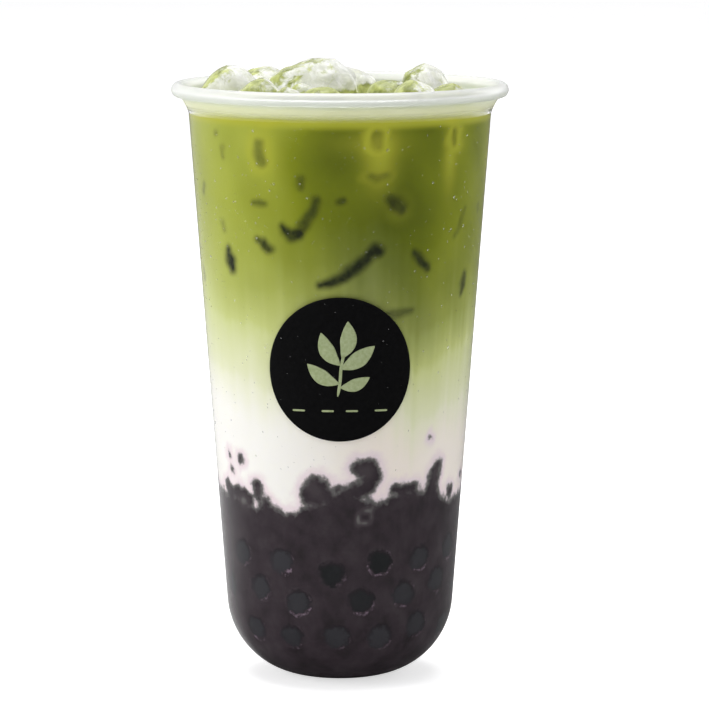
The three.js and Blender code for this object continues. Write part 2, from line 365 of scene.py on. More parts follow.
def times(tree, first, second, clamp=False):
    return maths(tree, "MULTIPLY", first, second, clamp)


def mixed(tree, factor, first, second):
    """Mix of two colours, each a colour or a socket."""
    return put(tree, "Mix", {0: factor, 6: first, 7: second}, data_type="RGBA", clamp_factor=True).outputs[2]


def blended(tree, factor, first, second):
    """Mix of two shaders."""
    return put(tree, "MixShader", {0: factor, 1: first, 2: second}).outputs[0]


def ramp(tree, factor, stops):
    made = put(tree, "ValToRGB", {0: factor})
    band = made.color_ramp
    while len(band.elements) < len(stops):
        band.elements.new(0.5)
    for element, (place, colour) in zip(band.elements, stops):
        element.position = place
        element.color = (*colour, 1.0)
    return made.outputs[0]


def value_from(tree, name):
    return put(tree, "Attribute", attribute_name=name).outputs["Fac"]


def place_in(tree):
    return put(tree, "TexCoord").outputs["Object"]


def noise_in(tree, scale, detail=3.0, roughness=0.5, distortion=0.0, stretch=(1.0, 1.0, 1.0)):
    """Noise of 0 to 1, with scale in waves for each metre."""
    shape = put(tree, "Mapping", {"Vector": place_in(tree), "Scale": stretch}).outputs[0]
    inputs = {"Vector": shape, "Scale": scale, "Detail": detail, "Roughness": roughness}
    inputs["Distortion"] = distortion
    return put(tree, "TexNoise", inputs).outputs[0]


def spread(tree, value, low, high, clamp=True):
    """Value, from 0 to 1, laid out between low and high."""
    return put(tree, "MapRange", {"Value": value, "To Min": low, "To Max": high}, clamp=clamp).outputs[0]


def swing(tree, reach, *shape):
    """Noise from -reach to reach."""
    return spread(tree, noise_in(tree, *shape), -reach, reach, clamp=False)


def even_range(tree, value, low, high, kind="LINEAR"):
    """Share of 0 to 1, which rises from low to high."""
    inputs = {"Value": value, "From Min": low, "From Max": high}
    return put(tree, "MapRange", inputs, interpolation_type=kind).outputs[0]


def soft_range(tree, value, low, high):
    """Share of 0 to 1, which rises softly from low to high."""
    return even_range(tree, value, low, high, "SMOOTHSTEP")


def bump(tree, height, strength, distance):
    inputs = {"Height": height, "Strength": strength, "Distance": distance * MM}
    return put(tree, "Bump", inputs).outputs[0]


def principled(tree, colour, roughness, specular=0.5, more=None):
    """The main shader, with its less common inputs in more."""
    inputs = {"Base Color": colour, "Roughness": roughness, "Specular IOR Level": specular, **(more or {})}
    return put(tree, "BsdfPrincipled", inputs).outputs[0]


def lets_lamps_through(tree, shader, tint=grey(1.0)):
    """A clear surface that lamps and soft light pass straight through."""
    path = put(tree, "LightPath").outputs
    factor = maths(tree, "MAXIMUM", path["Is Shadow Ray"], path["Is Diffuse Ray"])
    return blended(tree, factor, shader, put(tree, "BsdfTransparent", {"Color": tint}).outputs[0])


# Colours, as shares of light sent back
GREEN_LIGHT = (0.38, 0.42, 0.052)
GREEN_MIDDLE = (0.225, 0.26, 0.010)
GREEN_DARK = (0.088, 0.114, 0.002)
GREEN_GLOW = (0.47, 0.475, 0.04)
MILKY_GREEN = (0.60, 0.65, 0.25)
MILKY_PALE = (0.82, 0.83, 0.60)
MILK = (0.97, 0.945, 0.90)
MILK_SHADED = (0.96, 0.865, 0.79)
MILK_PINK = (0.86, 0.735, 0.77)
MASH_DARK = (0.019, 0.0135, 0.0165)
MASH_MIDDLE = (0.034, 0.0245, 0.0305)
MASH_PALE = (0.056, 0.044, 0.050)
MASH_GREY = (0.15, 0.145, 0.140)
SEAM_PALE = (0.20, 0.145, 0.19)
# Painted shade: the dim drink seen through sunk ice that touches the wall
ICE_PAINTED_SHADE = [(0.3, (0.006, 0.009, 0.002)), (0.8, (0.022, 0.030, 0.007))]
GREEN_ICE = [(0.38, (0.17, 0.20, 0.03)), (0.6, (0.52, 0.57, 0.18))]
PEARL_TONES = [(0.0, (0.034, 0.0325, 0.038)), (1.0, (0.0085, 0.0095, 0.0105))]
PEARL_OUTLINE = (0.015, 0.0105, 0.0145)
FOAM_UNDER = (0.40, 0.41, 0.05)
FOAM_CELLS = (0.40, 0.42, 0.13)
FOAM_TONES = [(0.35, (0.62, 0.64, 0.33)), (0.68, (0.86, 0.87, 0.64))]
BUBBLE_SKIN = (0.72, 0.74, 0.45)
LABEL_TONES = [(0.3, (0.0028, 0.0028, 0.003)), (0.8, (0.0055, 0.0055, 0.006))]
PRINT_TONES = [(0.3, (0.30, 0.36, 0.17)), (0.75, (0.44, 0.50, 0.29))]
# Painted light and shade of the milky rim, from under its neck to its crest: the drink's green painted in
# where it shows through, a painted shadow under the skirt's edge and a painted highlight on the bead
RIM_LIGHT_AND_SHADE = [
    (0.15, (0.74, 0.76, 0.48)),
    (0.36, (0.60, 0.65, 0.52)),
    (0.58, (0.70, 0.73, 0.66)),
    (0.7, (0.95, 0.96, 0.95)),
    (0.98, (0.86, 0.87, 0.86)),
]

UNDER_WALL_GLOSS = 0.05  # specular level of what lies against the wall, whose gloss is the wall's own
SOFT_LIGHT = {"Subsurface Radius": (1.0, 1.0, 0.5), "Subsurface Scale": 0.002}


# Materials

def clear_plastic(tree):
    """Clear plastic, which is milky in the rim, where light and shade are painted on."""
    height = put(tree, "SeparateXYZ", {0: place_in(tree)}).outputs[2]
    skirt = (CUP_HEIGHT - SKIRT_DEPTH) * MM
    rim = soft_range(tree, height, skirt - 4.2 * MM, skirt - 1.6 * MM)
    haze = spread(tree, noise_in(tree, 260.0, 4.0), 0.015, 0.05)
    roughness = added(tree, haze, times(tree, rim, 0.22))
    clear = principled(tree, (0.985, 0.99, 0.985), roughness, 0.4, {"IOR": 1.42, "Transmission Weight": 1.0})
    # Painted light and shade up the rim: the drink's green low down, a painted shadow at the skirt, a painted
    # highlight on the bead
    painted_rim = ramp(tree, even_range(tree, height, skirt - 2 * MM, CUP_HEIGHT * MM), RIM_LIGHT_AND_SHADE)
    surface = blended(tree, times(tree, rim, 0.5), clear, principled(tree, painted_rim, 0.3))
    return lets_lamps_through(tree, surface, (0.98, 0.985, 0.98))


def drink_colour(tree):
    """Green over milk, from the shade, milk and glow that the points hold, and the milk's painted shade; the
    green's shade is partly painted shade.
    """
    shade = added(tree, value_from(tree, "shade"), swing(tree, 0.09, 90.0, 4.0, 0.55), clamp=True)
    green = ramp(tree, shade, [(0.0, GREEN_LIGHT), (0.5, GREEN_MIDDLE), (1.0, GREEN_DARK)])
    green = mixed(tree, value_from(tree, "glow"), green, GREEN_GLOW)
    inside = value_from(tree, "milk")
    edge = times(tree, inside, maths(tree, "SUBTRACT", 1.0, inside))
    wisps = swing(tree, 0.24, 160.0, 5.0, 0.6, 0.6, (1.0, 1.0, 0.35))
    milk = added(tree, inside, times(tree, wisps, edge), clamp=True)
    colour = mixed(tree, even_range(tree, milk, 0.0, 0.42), green, MILKY_GREEN)
    colour = mixed(tree, even_range(tree, milk, 0.36, 0.74), colour, MILKY_PALE)
    # Painted shade: the milk turns darker and pinker on the side away from the key light
    white = mixed(tree, value_from(tree, "milk_shade"), MILK, MILK_SHADED)
    return mixed(tree, even_range(tree, milk, 0.68, 1.0), colour, white)


def mash_colour(tree):
    tone = added(tree, noise_in(tree, 150.0, 4.0, 0.55), value_from(tree, "light"))
    tone = added(tree, tone, swing(tree, 0.12, 420.0, 3.0, 0.6, 0.3, (1.0, 1.0, 0.6)))
    colour = ramp(tree, tone, [(0.25, MASH_DARK), (0.5, MASH_MIDDLE), (0.85, MASH_PALE)])
    return mixed(tree, soft_range(tree, tone, 0.95, 1.9), colour, MASH_GREY)


def wall_colour(tree):
    """Colour of what lies against the wall: mash, then milk, then green, with painted shade where sunk ice
    shows the dim drink behind it.
    """
    crumbs = added(tree, swing(tree, 1.3, 380.0, 3.0, 0.6), swing(tree, 0.4, 1100.0, 2.0))
    gap = added(tree, value_from(tree, "gap"), crumbs)
    colour = mixed(tree, soft_range(tree, gap, 1.2, 4.2), MILK_PINK, drink_colour(tree))
    colour = mixed(tree, soft_range(tree, gap, 0.5, 1.7), MASH_GREY, colour)
    colour = mixed(tree, soft_range(tree, gap, -0.6, 1.0), mash_colour(tree), colour)
    mottled = spread(tree, noise_in(tree, 500.0, 3.0, 0.6), 0.75, 1.25, clamp=False)
    mark = times(tree, value_from(tree, "mark"), mottled, clamp=True)
    # Painted shade where sunk ice touches the wall, for the dim drink seen through the clear ice
    return mixed(tree, mark, colour, ramp(tree, noise_in(tree, 240.0, 3.0), ICE_PAINTED_SHADE))


def matcha_and_milk(tree):
    more = {"Subsurface Weight": 0.12, **SOFT_LIGHT}
    return principled(tree, wall_colour(tree), 0.45, UNDER_WALL_GLOSS, more)


def sunk_ice(tree):
    """Ice under the drink's surface: the drink's own colour at the edges, and in the middle painted shade, for
    the dim drink seen through the clear ice.
    """
    return principled(tree, wall_colour(tree), 0.35, UNDER_WALL_GLOSS)


def purple_mash(tree):
    grain = bump(tree, noise_in(tree, 500.0, 3.0, 0.6), 0.12, 0.15)
    return principled(tree, wall_colour(tree), 0.5, UNDER_WALL_GLOSS, {"Normal": grain})


def dark_pearl(tree):
    """Pearls: dull inside, with a dark purple outline that fades into the mash."""
    tone = added(tree, value_from(tree, "dark"), swing(tree, 0.25, 350.0, 3.0))
    near = added(tree, value_from(tree, "near"), swing(tree, 0.4, 620.0, 3.0, 0.6))
    outline = times(tree, soft_range(tree, near, 0.45, 0.78), value_from(tree, "rim"))
    colour = mixed(tree, outline, ramp(tree, tone, PEARL_TONES), PEARL_OUTLINE)
    colour = mixed(tree, soft_range(tree, near, 0.66, 0.93), colour, mash_colour(tree))
    return principled(tree, colour, 0.4, UNDER_WALL_GLOSS)


def milky_seam(tree):
    """Thin milky liquid caught between the pearls and the mash."""
    breaks = soft_range(tree, noise_in(tree, 800.0, 3.0, 0.6), 0.4, 0.66)
    share = times(tree, value_from(tree, "share"), times(tree, value_from(tree, "bright"), breaks))
    return principled(tree, mixed(tree, share, mash_colour(tree), SEAM_PALE), 0.4, UNDER_WALL_GLOSS)


def pale_foam(tree):
    shape = {"Vector": place_in(tree), "Scale": 900.0, "Randomness": 1.0}
    cells = put(tree, "TexVoronoi", shape, feature="DISTANCE_TO_EDGE").outputs["Distance"]
    walls = even_range(tree, cells, 0.0, 0.16)
    pale = ramp(tree, noise_in(tree, 220.0, 4.0), FOAM_TONES)
    bubbly = soft_range(tree, noise_in(tree, 300.0, 3.0), 0.35, 0.65)
    colour = mixed(tree, bubbly, pale, mixed(tree, walls, pale, FOAM_CELLS))
    colour = mixed(tree, value_from(tree, "paleness"), FOAM_UNDER, colour)
    more = {"Subsurface Weight": 0.2, **SOFT_LIGHT, "Normal": bump(tree, walls, 0.3, 0.15)}
    return principled(tree, colour, 0.4, 0.25, more)


def bubble_skin(tree):
    """Thin shining skin of a bubble."""
    clear = put(tree, "BsdfTransparent", {"Color": (0.97, 0.98, 0.9)}).outputs[0]
    rim = put(tree, "LayerWeight", {"Blend": 0.35}).outputs["Facing"]
    skin = blended(tree, spread(tree, rim, 0.12, 0.95), clear, principled(tree, BUBBLE_SKIN, 0.12))
    return lets_lamps_through(tree, skin)


def clear_ice(tree):
    """Clear ice with white clouds in it, green on the faces that turn up and to the left, and green drink
    clinging to its foot.
    """
    facets = noise_in(tree, 160.0, 3.0, 0.5)
    clouds = soft_range(tree, noise_in(tree, 110.0, 4.0, 0.6, 0.8), 0.42, 0.66)
    veins = soft_range(tree, noise_in(tree, 300.0, 5.0, 0.7, 1.2), 0.5, 0.62)
    patchy = swing(tree, 1.3, 230.0, 5.0, 0.7, 0.5)
    tint = soft_range(tree, added(tree, value_from(tree, "tint"), patchy), 0.15, 0.7)
    more = {"IOR": 1.31, "Transmission Weight": 1.0, "Normal": bump(tree, facets, 0.3, 0.8)}
    ice = principled(tree, (0.99, 0.995, 0.98), spread(tree, facets, 0.02, 0.09), 0.5, more)
    cloudy = added(tree, spread(tree, clouds, 0.55, 0.9), times(tree, veins, 0.1))
    cloudy = added(tree, cloudy, times(tree, tint, 0.1), clamp=True)
    pale = mixed(tree, veins, (0.95, 0.955, 0.93), grey(1.0))
    colour = mixed(tree, tint, pale, ramp(tree, noise_in(tree, 240.0, 4.0, 0.6, 0.5), GREEN_ICE))
    # Painted light: the cloudy ice gives off a faint light of its own, so that its side away from the key
    # light stays white
    white = principled(tree, colour, 0.25, 0.4, {"Emission Color": colour, "Emission Strength": 0.14})
    return lets_lamps_through(tree, blended(tree, cloudy, ice, white), (0.96, 0.97, 0.94))


def condensation(tree):
    drop = principled(tree, grey(1.0), 0.22, 0.3, {"IOR": 1.25, "Transmission Weight": 1.0})
    return lets_lamps_through(tree, drop)


def black_film(tree):
    fibre = noise_in(tree, 900.0, 4.0, 0.65)
    more = {"Normal": bump(tree, fibre, 0.08, 0.05)}
    return principled(tree, ramp(tree, fibre, LABEL_TONES), spread(tree, fibre, 0.42, 0.6), 0.06, more)


def pale_print(tree):
    return principled(tree, ramp(tree, noise_in(tree, 1100.0, 4.0, 0.6), PRINT_TONES), 0.5, 0.2)


def by_ray(tree, seen, cast, mirrored):
    """Colour of the surroundings where they are seen, in the light that they cast, and in reflections."""
    path = put(tree, "LightPath").outputs
    reflected = maths(tree, "SUBTRACT", path["Is Glossy Ray"], path["Is Transmission Ray"], clamp=True)
    return mixed(tree, reflected, mixed(tree, path["Is Diffuse Ray"], seen, cast), mirrored)


def left_and_behind(tree, way):
    """Share of 1 where a way from the cup goes left and back, where the studio is bright."""
    way = put(tree, "VectorMath", {0: way}, operation="NORMALIZE").outputs[0]
    parts = put(tree, "SeparateXYZ", {0: way}).outputs
    return times(tree, soft_range(tree, parts[0], -0.05, -0.5), soft_range(tree, parts[1], -0.2, 0.7))


def pale_floor(tree):
    colour = ramp(tree, noise_in(tree, 6.0, 3.0), [(0.3, grey(0.86)), (0.7, grey(0.88))])
    shine = mixed(tree, left_and_behind(tree, place_in(tree)), grey(0.0), grey(0.48))
    glow = by_ray(tree, grey(0.6), grey(0.12), shine)
    more = {"Emission Color": glow, "Emission Strength": 1.0}
    return principled(tree, by_ray(tree, colour, colour, grey(0.16)), 0.7, 0.1, more)


# Cup

def side_under(depth, low, high, corner_steps, wall_steps):
    """Radius and height up the side at some depth, round the corner and up the wall."""
    radius = CORNER_RADIUS - depth
    start = math.asin((CORNER_CENTRE_HEIGHT - low) / radius)
    angles = np.linspace(start, TAPER_ANGLE, corner_steps, endpoint=False)
    across = CORNER_CENTRE_RADIUS + radius * np.cos(angles)
    corner = np.stack([across, CORNER_CENTRE_HEIGHT - radius * np.sin(angles)], axis=1)
    heights = np.linspace(TANGENT_HEIGHT, high, wall_steps)
    return np.concatenate([corner, np.stack([radius_under(depth, heights), heights], axis=1)])


def rim_line():
    """Rim section, outside from the wall over the crest and down to the inner wall."""
    skirt = CUP_HEIGHT - SKIRT_DEPTH
    neck_height = CUP_HEIGHT - NECK_DEPTH
    neck = RIM_RADIUS - NECK_INSET
    groove = CUP_HEIGHT - GROOVE_DEPTH
    line = [
        (wall_radius(FLARE_HEIGHT), FLARE_HEIGHT),
        (neck - 1.55, neck_height - 2.6),
        (neck - 0.7, neck_height - 1),
        (neck, neck_height),
        (neck + 0.05, groove),
        (neck + 0.95, groove),
        (RIM_RADIUS - SKIRT_INSET, skirt),
        (RIM_RADIUS - 0.7, skirt + 0.25),
        (RIM_RADIUS - 0.1, skirt + 1.2),
        (RIM_RADIUS, skirt + 2),
        (RIM_RADIUS - 0.35, CUP_HEIGHT - 0.9),
        (RIM_RADIUS - 1.2, CUP_HEIGHT - 0.2),
        (RIM_RADIUS - CREST_INSET, CUP_HEIGHT),
        (RIM_RADIUS - 3.2, CUP_HEIGHT - 0.35),
        (RIM_RADIUS - 3.75, CUP_HEIGHT - 1.5),
        (neck - WALL_THICKNESS, neck_height),
        (neck - 1.55 - WALL_THICKNESS, neck_height - 2.5),
        (float(radius_under(WALL_THICKNESS, FLARE_HEIGHT)), FLARE_HEIGHT),
    ]
    return np.array(line)


def build_cup():
    foot = float(radius_under(0, 0))
    recess = foot - FOOT_RING_WIDTH
    sole = eased(np.array([(0.4, FOOT_RECESS), (recess - 1, FOOT_RECESS), (recess, 0.0), (foot, 0.0)]), 2)
    outside = side_under(0, 0.12, FLARE_HEIGHT - 4, 22, 24)
    inside = side_under(WALL_THICKNESS, FLOOR_HEIGHT, FLARE_HEIGHT - 4, 20, 24)[::-1]
    line = np.concatenate([sole, outside, eased(rim_line(), 3), inside, [[0.4, FLOOR_HEIGHT]]])
    dress(lathed("clear_cup", CUP_COLUMNS, line), clear_plastic, "clear_plastic", "cup")


# Fields of the drink: how dark its green is, from the matcha's uneven strength and from painted shade;
# where it glows; where its milk is painted in shade; and how far up its milk is

# How dark the green is: partly the matcha's uneven strength, partly painted shade, lighter on the left towards
# the key light and darker in the front middle
SHADE_SWELLS = [
    (14, 0.72, 30), (36, 0.20, 14), (62, 0.42, 24), (128, 0.55, 34), (196, 0.3, 22), (243, 0.45, 20),
]
SHADE_SPOTS = [
    (-12, 146, 12, 10, 0.22), (-3, 153, 14, 9, 0.26), (22, 136, 18, 8, 0.2), (-24, 130, 22, 13, 0.2),
    (0, 127, 12, 9, 0.14), (6, 117, 36, 8, 0.18), (-34, 140, 12, 12, 0.08), (-52, 149, 10, 12, -0.08),
    (30, 118, 20, 7, -0.1), (110, 140, 16, 18, 0.25), (158, 148, 14, 14, -0.25), (222, 132, 18, 14, 0.2),
    (268, 146, 12, 14, 0.22),
]
GLOW_SPOTS = [
    (-29, 152, 4.2, 8, 0.55), (15.5, 150, 6.8, 9.5, 0.72), (47.5, 150, 3.6, 10, 0.65),
    (24, 135, 5.4, 3.4, 0.22), (10, 154, 15, 3.5, 0.3), (82, 148, 4, 8, 0.5), (127, 151, 5, 8, 0.55),
    (171, 150, 4, 9, 0.5), (214, 151, 6, 7, 0.55), (251, 149, 4, 9, 0.5),
]
# Painted shade: the milk is darker and pinker on the side away from the key light, and at the back
MILK_SHADE_SWELLS = [(22, 1.0, 30), (75, 0.8, 30), (160, 0.5, 30)]
MILK_SHIFT = [
    (50, 9, 52), (-20, 2.5, 26), (37, 6, 10), (-80, -1, 24), (168, 7, 30), (246, -5, 24), (206, 4, 14),
]
MILK_HEIGHTS = [70, 77, 81, 85, 89, 93, 98, 102, 106, 110, 116, 126, 138]
MILK_SHARES = [1.0, 0.98, 0.91, 0.80, 0.70, 0.61, 0.52, 0.44, 0.35, 0.24, 0.12, 0.04, 0.0]


def milk_share(angle, height):
    shift = swell(MILK_SHIFT, angle)
    streaks = ripple(angle, height * 0.2, 5, 14, 46, 60.0) * 2.2
    streaks = streaks + ripple(angle, height * 0.1, 6, 12, 150, 60.0)
    billows = ripple(angle, height, 8, 10, 9, 30.0) * 1.8
    level = height + shift + billows + streaks * smooth_step(-20, 30, shift * 4)
    return np.interp(level, MILK_HEIGHTS, MILK_SHARES)


def top_band(height):
    """The bright line of drink under the froth."""
    return smooth_step(157.0, 159.8, height)


def shade_share(angle, height):
    shade = swell(SHADE_SWELLS, angle) + patches(SHADE_SPOTS, angle, height) + 0.02
    shade = shade + ripple(angle, height, 21, 14, 16, 26.0) * 0.09
    return np.clip(shade * (1 - top_band(height) * 0.9), 0, 1)


def glow_share(angle, height):
    return np.clip(patches(GLOW_SPOTS, angle, height) + top_band(height) * 0.85, 0, 1)


# Mash and pearls

MASH_COLUMNS = 600
MASH_BEND = 45.0  # from here up, the mash's rows follow its crown
MASH_RECESS = 2.2  # how far the mash draws back from the wall where milk shows
CROWN_LOW, CROWN_HIGH = 46.0, 70.0

# Height of the mash's edge on the wall at some angles
MASH_EDGE_PLACES = [
    (-84, 53.6), (-77, 53.0), (-70, 52.5), (-60, 52.8), (-51.5, 52.4), (-47, 51.0), (-44, 49.6), (-40.5, 50.9),
    (-36.5, 51.7), (-32.5, 51.1), (-29.5, 49.8), (-25.5, 49.0), (-21.5, 49.7), (-18, 51.1), (-13.5, 52.1),
    (-9.5, 53.6), (-2, 54.4), (5, 55.7), (8.5, 55.3), (12, 53.8), (16, 53.3), (19.5, 52.9), (22.5, 53.3),
    (25.5, 54.5), (28.5, 55.5), (33, 56.2), (37.5, 55.9), (42, 55.2), (47, 54.4), (53, 54.0), (57, 51.9),
    (61, 50.7), (67, 51.1), (77, 51.3), (86, 52.4), (98, 54.8), (112, 55.5), (124, 52.0), (138, 50.0),
    (150, 51.2), (163, 54.8), (176, 56.0), (190, 53.0), (204, 50.5), (216, 51.5), (229, 54.6), (243, 56.0),
    (254, 53.0), (264, 51.0), (271, 52.4),
]
# Lumps of mash that climb the wall, as tapered lines of (angle, height, half width)
MASH_LUMPS = [
    [(-86, 52, 1.6), (-87, 56, 0.7)],
    [(-65.7, 55.3, 1.2), (-63.2, 53.7, 1.9)],
    [(-58, 54.2, 1.5), (-51.3, 53.3, 1.9), (-48.6, 52.6, 1.4)],
    [(-42.5, 56.9, 1.0), (-41.5, 55.7, 0.9)],
    [(-41.5, 55.6, 0.5), (-41.2, 53.4, 0.3)],
    [(-37.9, 53.3, 0.4), (-37.1, 51.1, 0.9)],
    [(-15.1, 56, 1.5), (-13.6, 58.1, 1.3), (-10.7, 58.9, 1.2), (-8.9, 57.6, 1.4), (-6.5, 55.4, 1.7)],
    [(-14.2, 54.4, 0.8), (-13.3, 51.8, 0.6)],
    [(-11.8, 57, 1.6), (-10, 55, 2.0)],
    [(-10.8, 60.3, 0.6)],
    [(-7.2, 59.4, 0.45)],
    [(-1.3, 57.5, 0.6)],
    [(-1.8, 54.5, 1.1), (2.4, 55.7, 1.4), (5.7, 57.1, 1.4), (10.4, 57.6, 1.1)],
    [(8.5, 56.7, 1.6), (12.3, 58.7, 1.7), (14.6, 61, 2.0), (13.4, 63.0, 2.3), (10.8, 63.2, 2.0),
     (8.2, 63.6, 1.3)],
    [(26.8, 57, 0.7), (30.1, 56.6, 1.1)],
    [(31.7, 56.8, 0.9), (36.9, 57.1, 0.7)],
    [(52.1, 62.7, 0.8), (50, 60.5, 1.4), (48.9, 57.7, 1.45), (48.3, 54.3, 2.1)],
    [(64, 54.1, 0.95)],
    [(86, 51.5, 1.4), (87, 54.5, 0.6)],
    [(99, 54, 2.6), (101, 58, 2.0), (104, 61, 1.2)],
    [(121, 52, 1.6), (122, 57.5, 0.7)],
    [(134, 53.5, 0.9)],
    [(160, 54, 2.4), (166, 58, 1.8), (171, 61, 2.0), (176, 61.5, 0.8)],
    [(186, 53, 1.8), (188, 58.5, 0.9)],
    [(199, 55.5, 0.9), (202, 53, 0.6)],
    [(224, 52, 2.0), (226, 56, 1.0)],
    [(233, 54, 2.8), (236, 59, 2.0), (240, 62, 1.3), (244, 62.5, 0.5)],
    [(262, 52, 1.7), (262.5, 58, 0.8)],
]
# Loose crumbs in the milk: angle, height, and half width of the dark core, which is pale where that is
# below zero. Each crumb's own piece is wider than its core by the margin.
SPECK_MARGIN = 0.7
MASH_SPECKS = [
    (-52.5, 63.9, 0.4), (-62.0, 64.8, -0.2), (-60.0, 60.7, -0.1), (45.3, 70.8, -0.5), (78.5, 57.7, 0.1),
    (108, 65, 0.4), (113, 61, 0.0), (152, 57, 0.4), (178, 65.5, 0.2), (210, 58, 0.3), (247, 67, 0.4),
    (254, 62, -0.1), (271, 60, 0.3),
]
# Where the mash looks light and grey: angle, height, half width in degrees, half height, amount
LIGHT_SPOTS = [
    (-52.5, 52.2, 3.4, 1.6, 1.1), (-13.8, 52.8, 1.8, 0.9, 1.0), (-12, 57.5, 4, 2.6, 0.5),
    (12.5, 62, 3.5, 2.5, 0.35), (50, 60, 2.5, 3.5, 0.35), (-41.5, 56, 2, 2, 0.5), (8.6, 49.2, 1.3, 1.8, 1.3),
    (13.0, 51.4, 2.6, 1.0, 1.2), (11.8, 47.9, 2.6, 0.8, 1.1), (15.0, 49.6, 1.1, 1.5, 0.9),
    (15.8, 52.6, 1.4, 1.1, 0.8), (104, 52.5, 2.4, 1.3, 1.0), (168, 53.4, 2.2, 1.2, 1.0),
    (238, 54.0, 2.6, 1.2, 1.0),
]
PEARL_RADIUS = 4.6
PEARL_PLACES = [
    (-55.8, 37.4), (-29.7, 36.5), (-3.8, 33.6), (19.9, 36.5), (42.6, 36.8), (67.2, 38.1),
    (-70.9, 27.2), (-43.4, 28.3), (-21.2, 25.0), (10.7, 25.6), (33.6, 27.0), (57.2, 29.5),
    (-49.6, 16.3), (-26.0, 15.2), (-1.5, 15.3), (21.6, 14.9), (43.3, 17.6),
    (92, 37.0), (117, 35.2), (143, 37.4), (168, 35.6), (193, 36.8), (219, 35.4), (245, 37.5), (271, 36.0),
    (82, 26.4), (107, 27.8), (132, 26.0), (157, 27.4), (182, 25.8), (207, 27.6), (232, 26.6), (260, 27.9),
    (69, 15.6), (94, 16.8), (119, 15.0), (145, 16.4), (171, 14.9), (197, 16.6), (223, 15.3), (250, 16.5),
    (279, 15.6),
]
# How dark some pearls are, and the bright arc of milk under some: start, sweep, half width, brightness
DARK_PEARLS = {
    1: -0.1, 2: 0.9, 3: 1.1, 4: 0.1, 7: 0.0, 8: 0.1, 9: 0.7, 10: 0.15, 18: 0.9, 22: 0.8, 27: 0.9, 30: 0.8,
}
SEAM_ARCS = {
    0: (-80, 60, 0.25, 0.55), 1: (-85, 45, 0.42, 1.2), 2: (-70, 60, 0.26, 0.5), 3: (-165, 150, 0.26, 0.95),
    4: (-115, 100, 0.3, 0.8), 7: (-90, 70, 0.26, 0.6), 8: (-130, 105, 0.32, 1.0), 9: (-120, 100, 0.28, 0.85),
    13: (-110, 60, 0.26, 0.5), 15: (-80, 60, 0.24, 0.45),
}


def mash_edge(angle):
    """Height of the mash's edge on the wall."""
    turns, heights = zip(*MASH_EDGE_PLACES)
    return np.interp(angle, turns, heights, period=360.0) + ripple(angle, 0.0, 31, 22, 60, 30.0) * 0.35


def gap_to(line, angle, height):
    """Distance on the wall from the outline of a tapered line, in millimetres. Negative inside."""
    spots = np.asarray(line * 2 if len(line) == 1 else line, float)
    scale = math.radians(1.0) * float(radius_under(DRINK_DEPTH, spots[:, 1].mean()))
    across = wrapped(angle - spots[0, 0]) * scale
    gap = np.full(np.broadcast(angle, height).shape, np.inf)
    for first, second in zip(spots[:-1], spots[1:]):
        start = (first[0] - spots[0, 0]) * scale
        way = np.array([(second[0] - first[0]) * scale, second[1] - first[1]])
        share = ((across - start) * way[0] + (height - first[1]) * way[1]) / max(way @ way, 1e-9)
        share = np.clip(share, 0, 1)
        away = np.hypot(across - start - way[0] * share, height - first[1] - way[1] * share)
        gap = np.minimum(gap, away - first[2] - (second[2] - first[2]) * share)
    return gap


def joined(gaps, blend):
    """Outline that takes in all of some outlines, with soft inner corners."""
    gaps = np.stack(gaps)
    low = gaps.min(axis=0)
    return low - blend * np.log(np.exp((low - gaps) / blend).sum(axis=0))


def mash_gap(angle, height, specks=False):
    """Distance on the wall from the outline of the mash, in millimetres. Negative in the mash."""
    shifted = angle + ripple(angle, height, 33, 20, 70, 5.0) * 0.5
    raised = height + ripple(angle, height, 34, 20, 70, 5.0) * 0.35
    lines = MASH_LUMPS + ([[spot] for spot in MASH_SPECKS] if specks else [])
    gaps = [(raised - mash_edge(shifted)) * 0.8] + [gap_to(line, shifted, raised) for line in lines]
    return joined(gaps, 0.4)


def crown_top(turn):
    """Height up to which mash climbs the wall at each angle."""
    heights = np.arange(CROWN_LOW, CROWN_HIGH, 0.25)
    mashed = mash_gap(turn[None, :], heights[:, None]) < 0.9
    top = np.where(mashed, heights[:, None], CROWN_LOW).max(axis=0)
    top = np.max([np.roll(top, step) for step in range(-4, 5)], axis=0)
    return np.mean([np.roll(top, step) for step in range(-4, 5)], axis=0) + 0.5


def build_mash():
    """Mash that fills the foot of the cup and climbs the wall in lumps."""
    turn = round_cup(MASH_COLUMNS)
    crown = crown_top(turn)
    below = np.linspace(FLOOR_HEIGHT - 0.1, MASH_BEND, 54)[:, None] + 0 * turn
    above = MASH_BEND + (crown - MASH_BEND) * np.linspace(0, 1, 76)[1:, None]
    height = np.concatenate([below, above])
    angle = turn + 0 * height
    recess = smooth_step(-0.6, 2.4, mash_gap(angle, height)) * MASH_RECESS
    side = radius_under(MASH_DEPTH + recess + ripple(angle, height, 41, 16, 60, 8.0) * 0.02, height)
    rows = [(side[0] * share, height[0]) for share in (0.05, 0.4, 0.75)]
    rows += list(zip(side, height))
    inner = MASH_LEVEL - 4.0
    for inset, sink in ((0.5, 0.0), (1.1, 0.2), (1.5, 0.6), (1.8, 1.0)):
        rows.append((side[-1] - inset, crown + (inner - crown) * sink))
    for radius in (30.0, 24.0, 16.0, 8.0, 1.0):
        rows.append((np.full_like(turn, radius), inner + ripple(turn, radius, 42, 12, 14, 14.0) * 0.5))
    body = ringed("mash_body", turn, rows)
    store_fields(body)
    dress(body, purple_mash, "purple_mash", "pearl_mash")


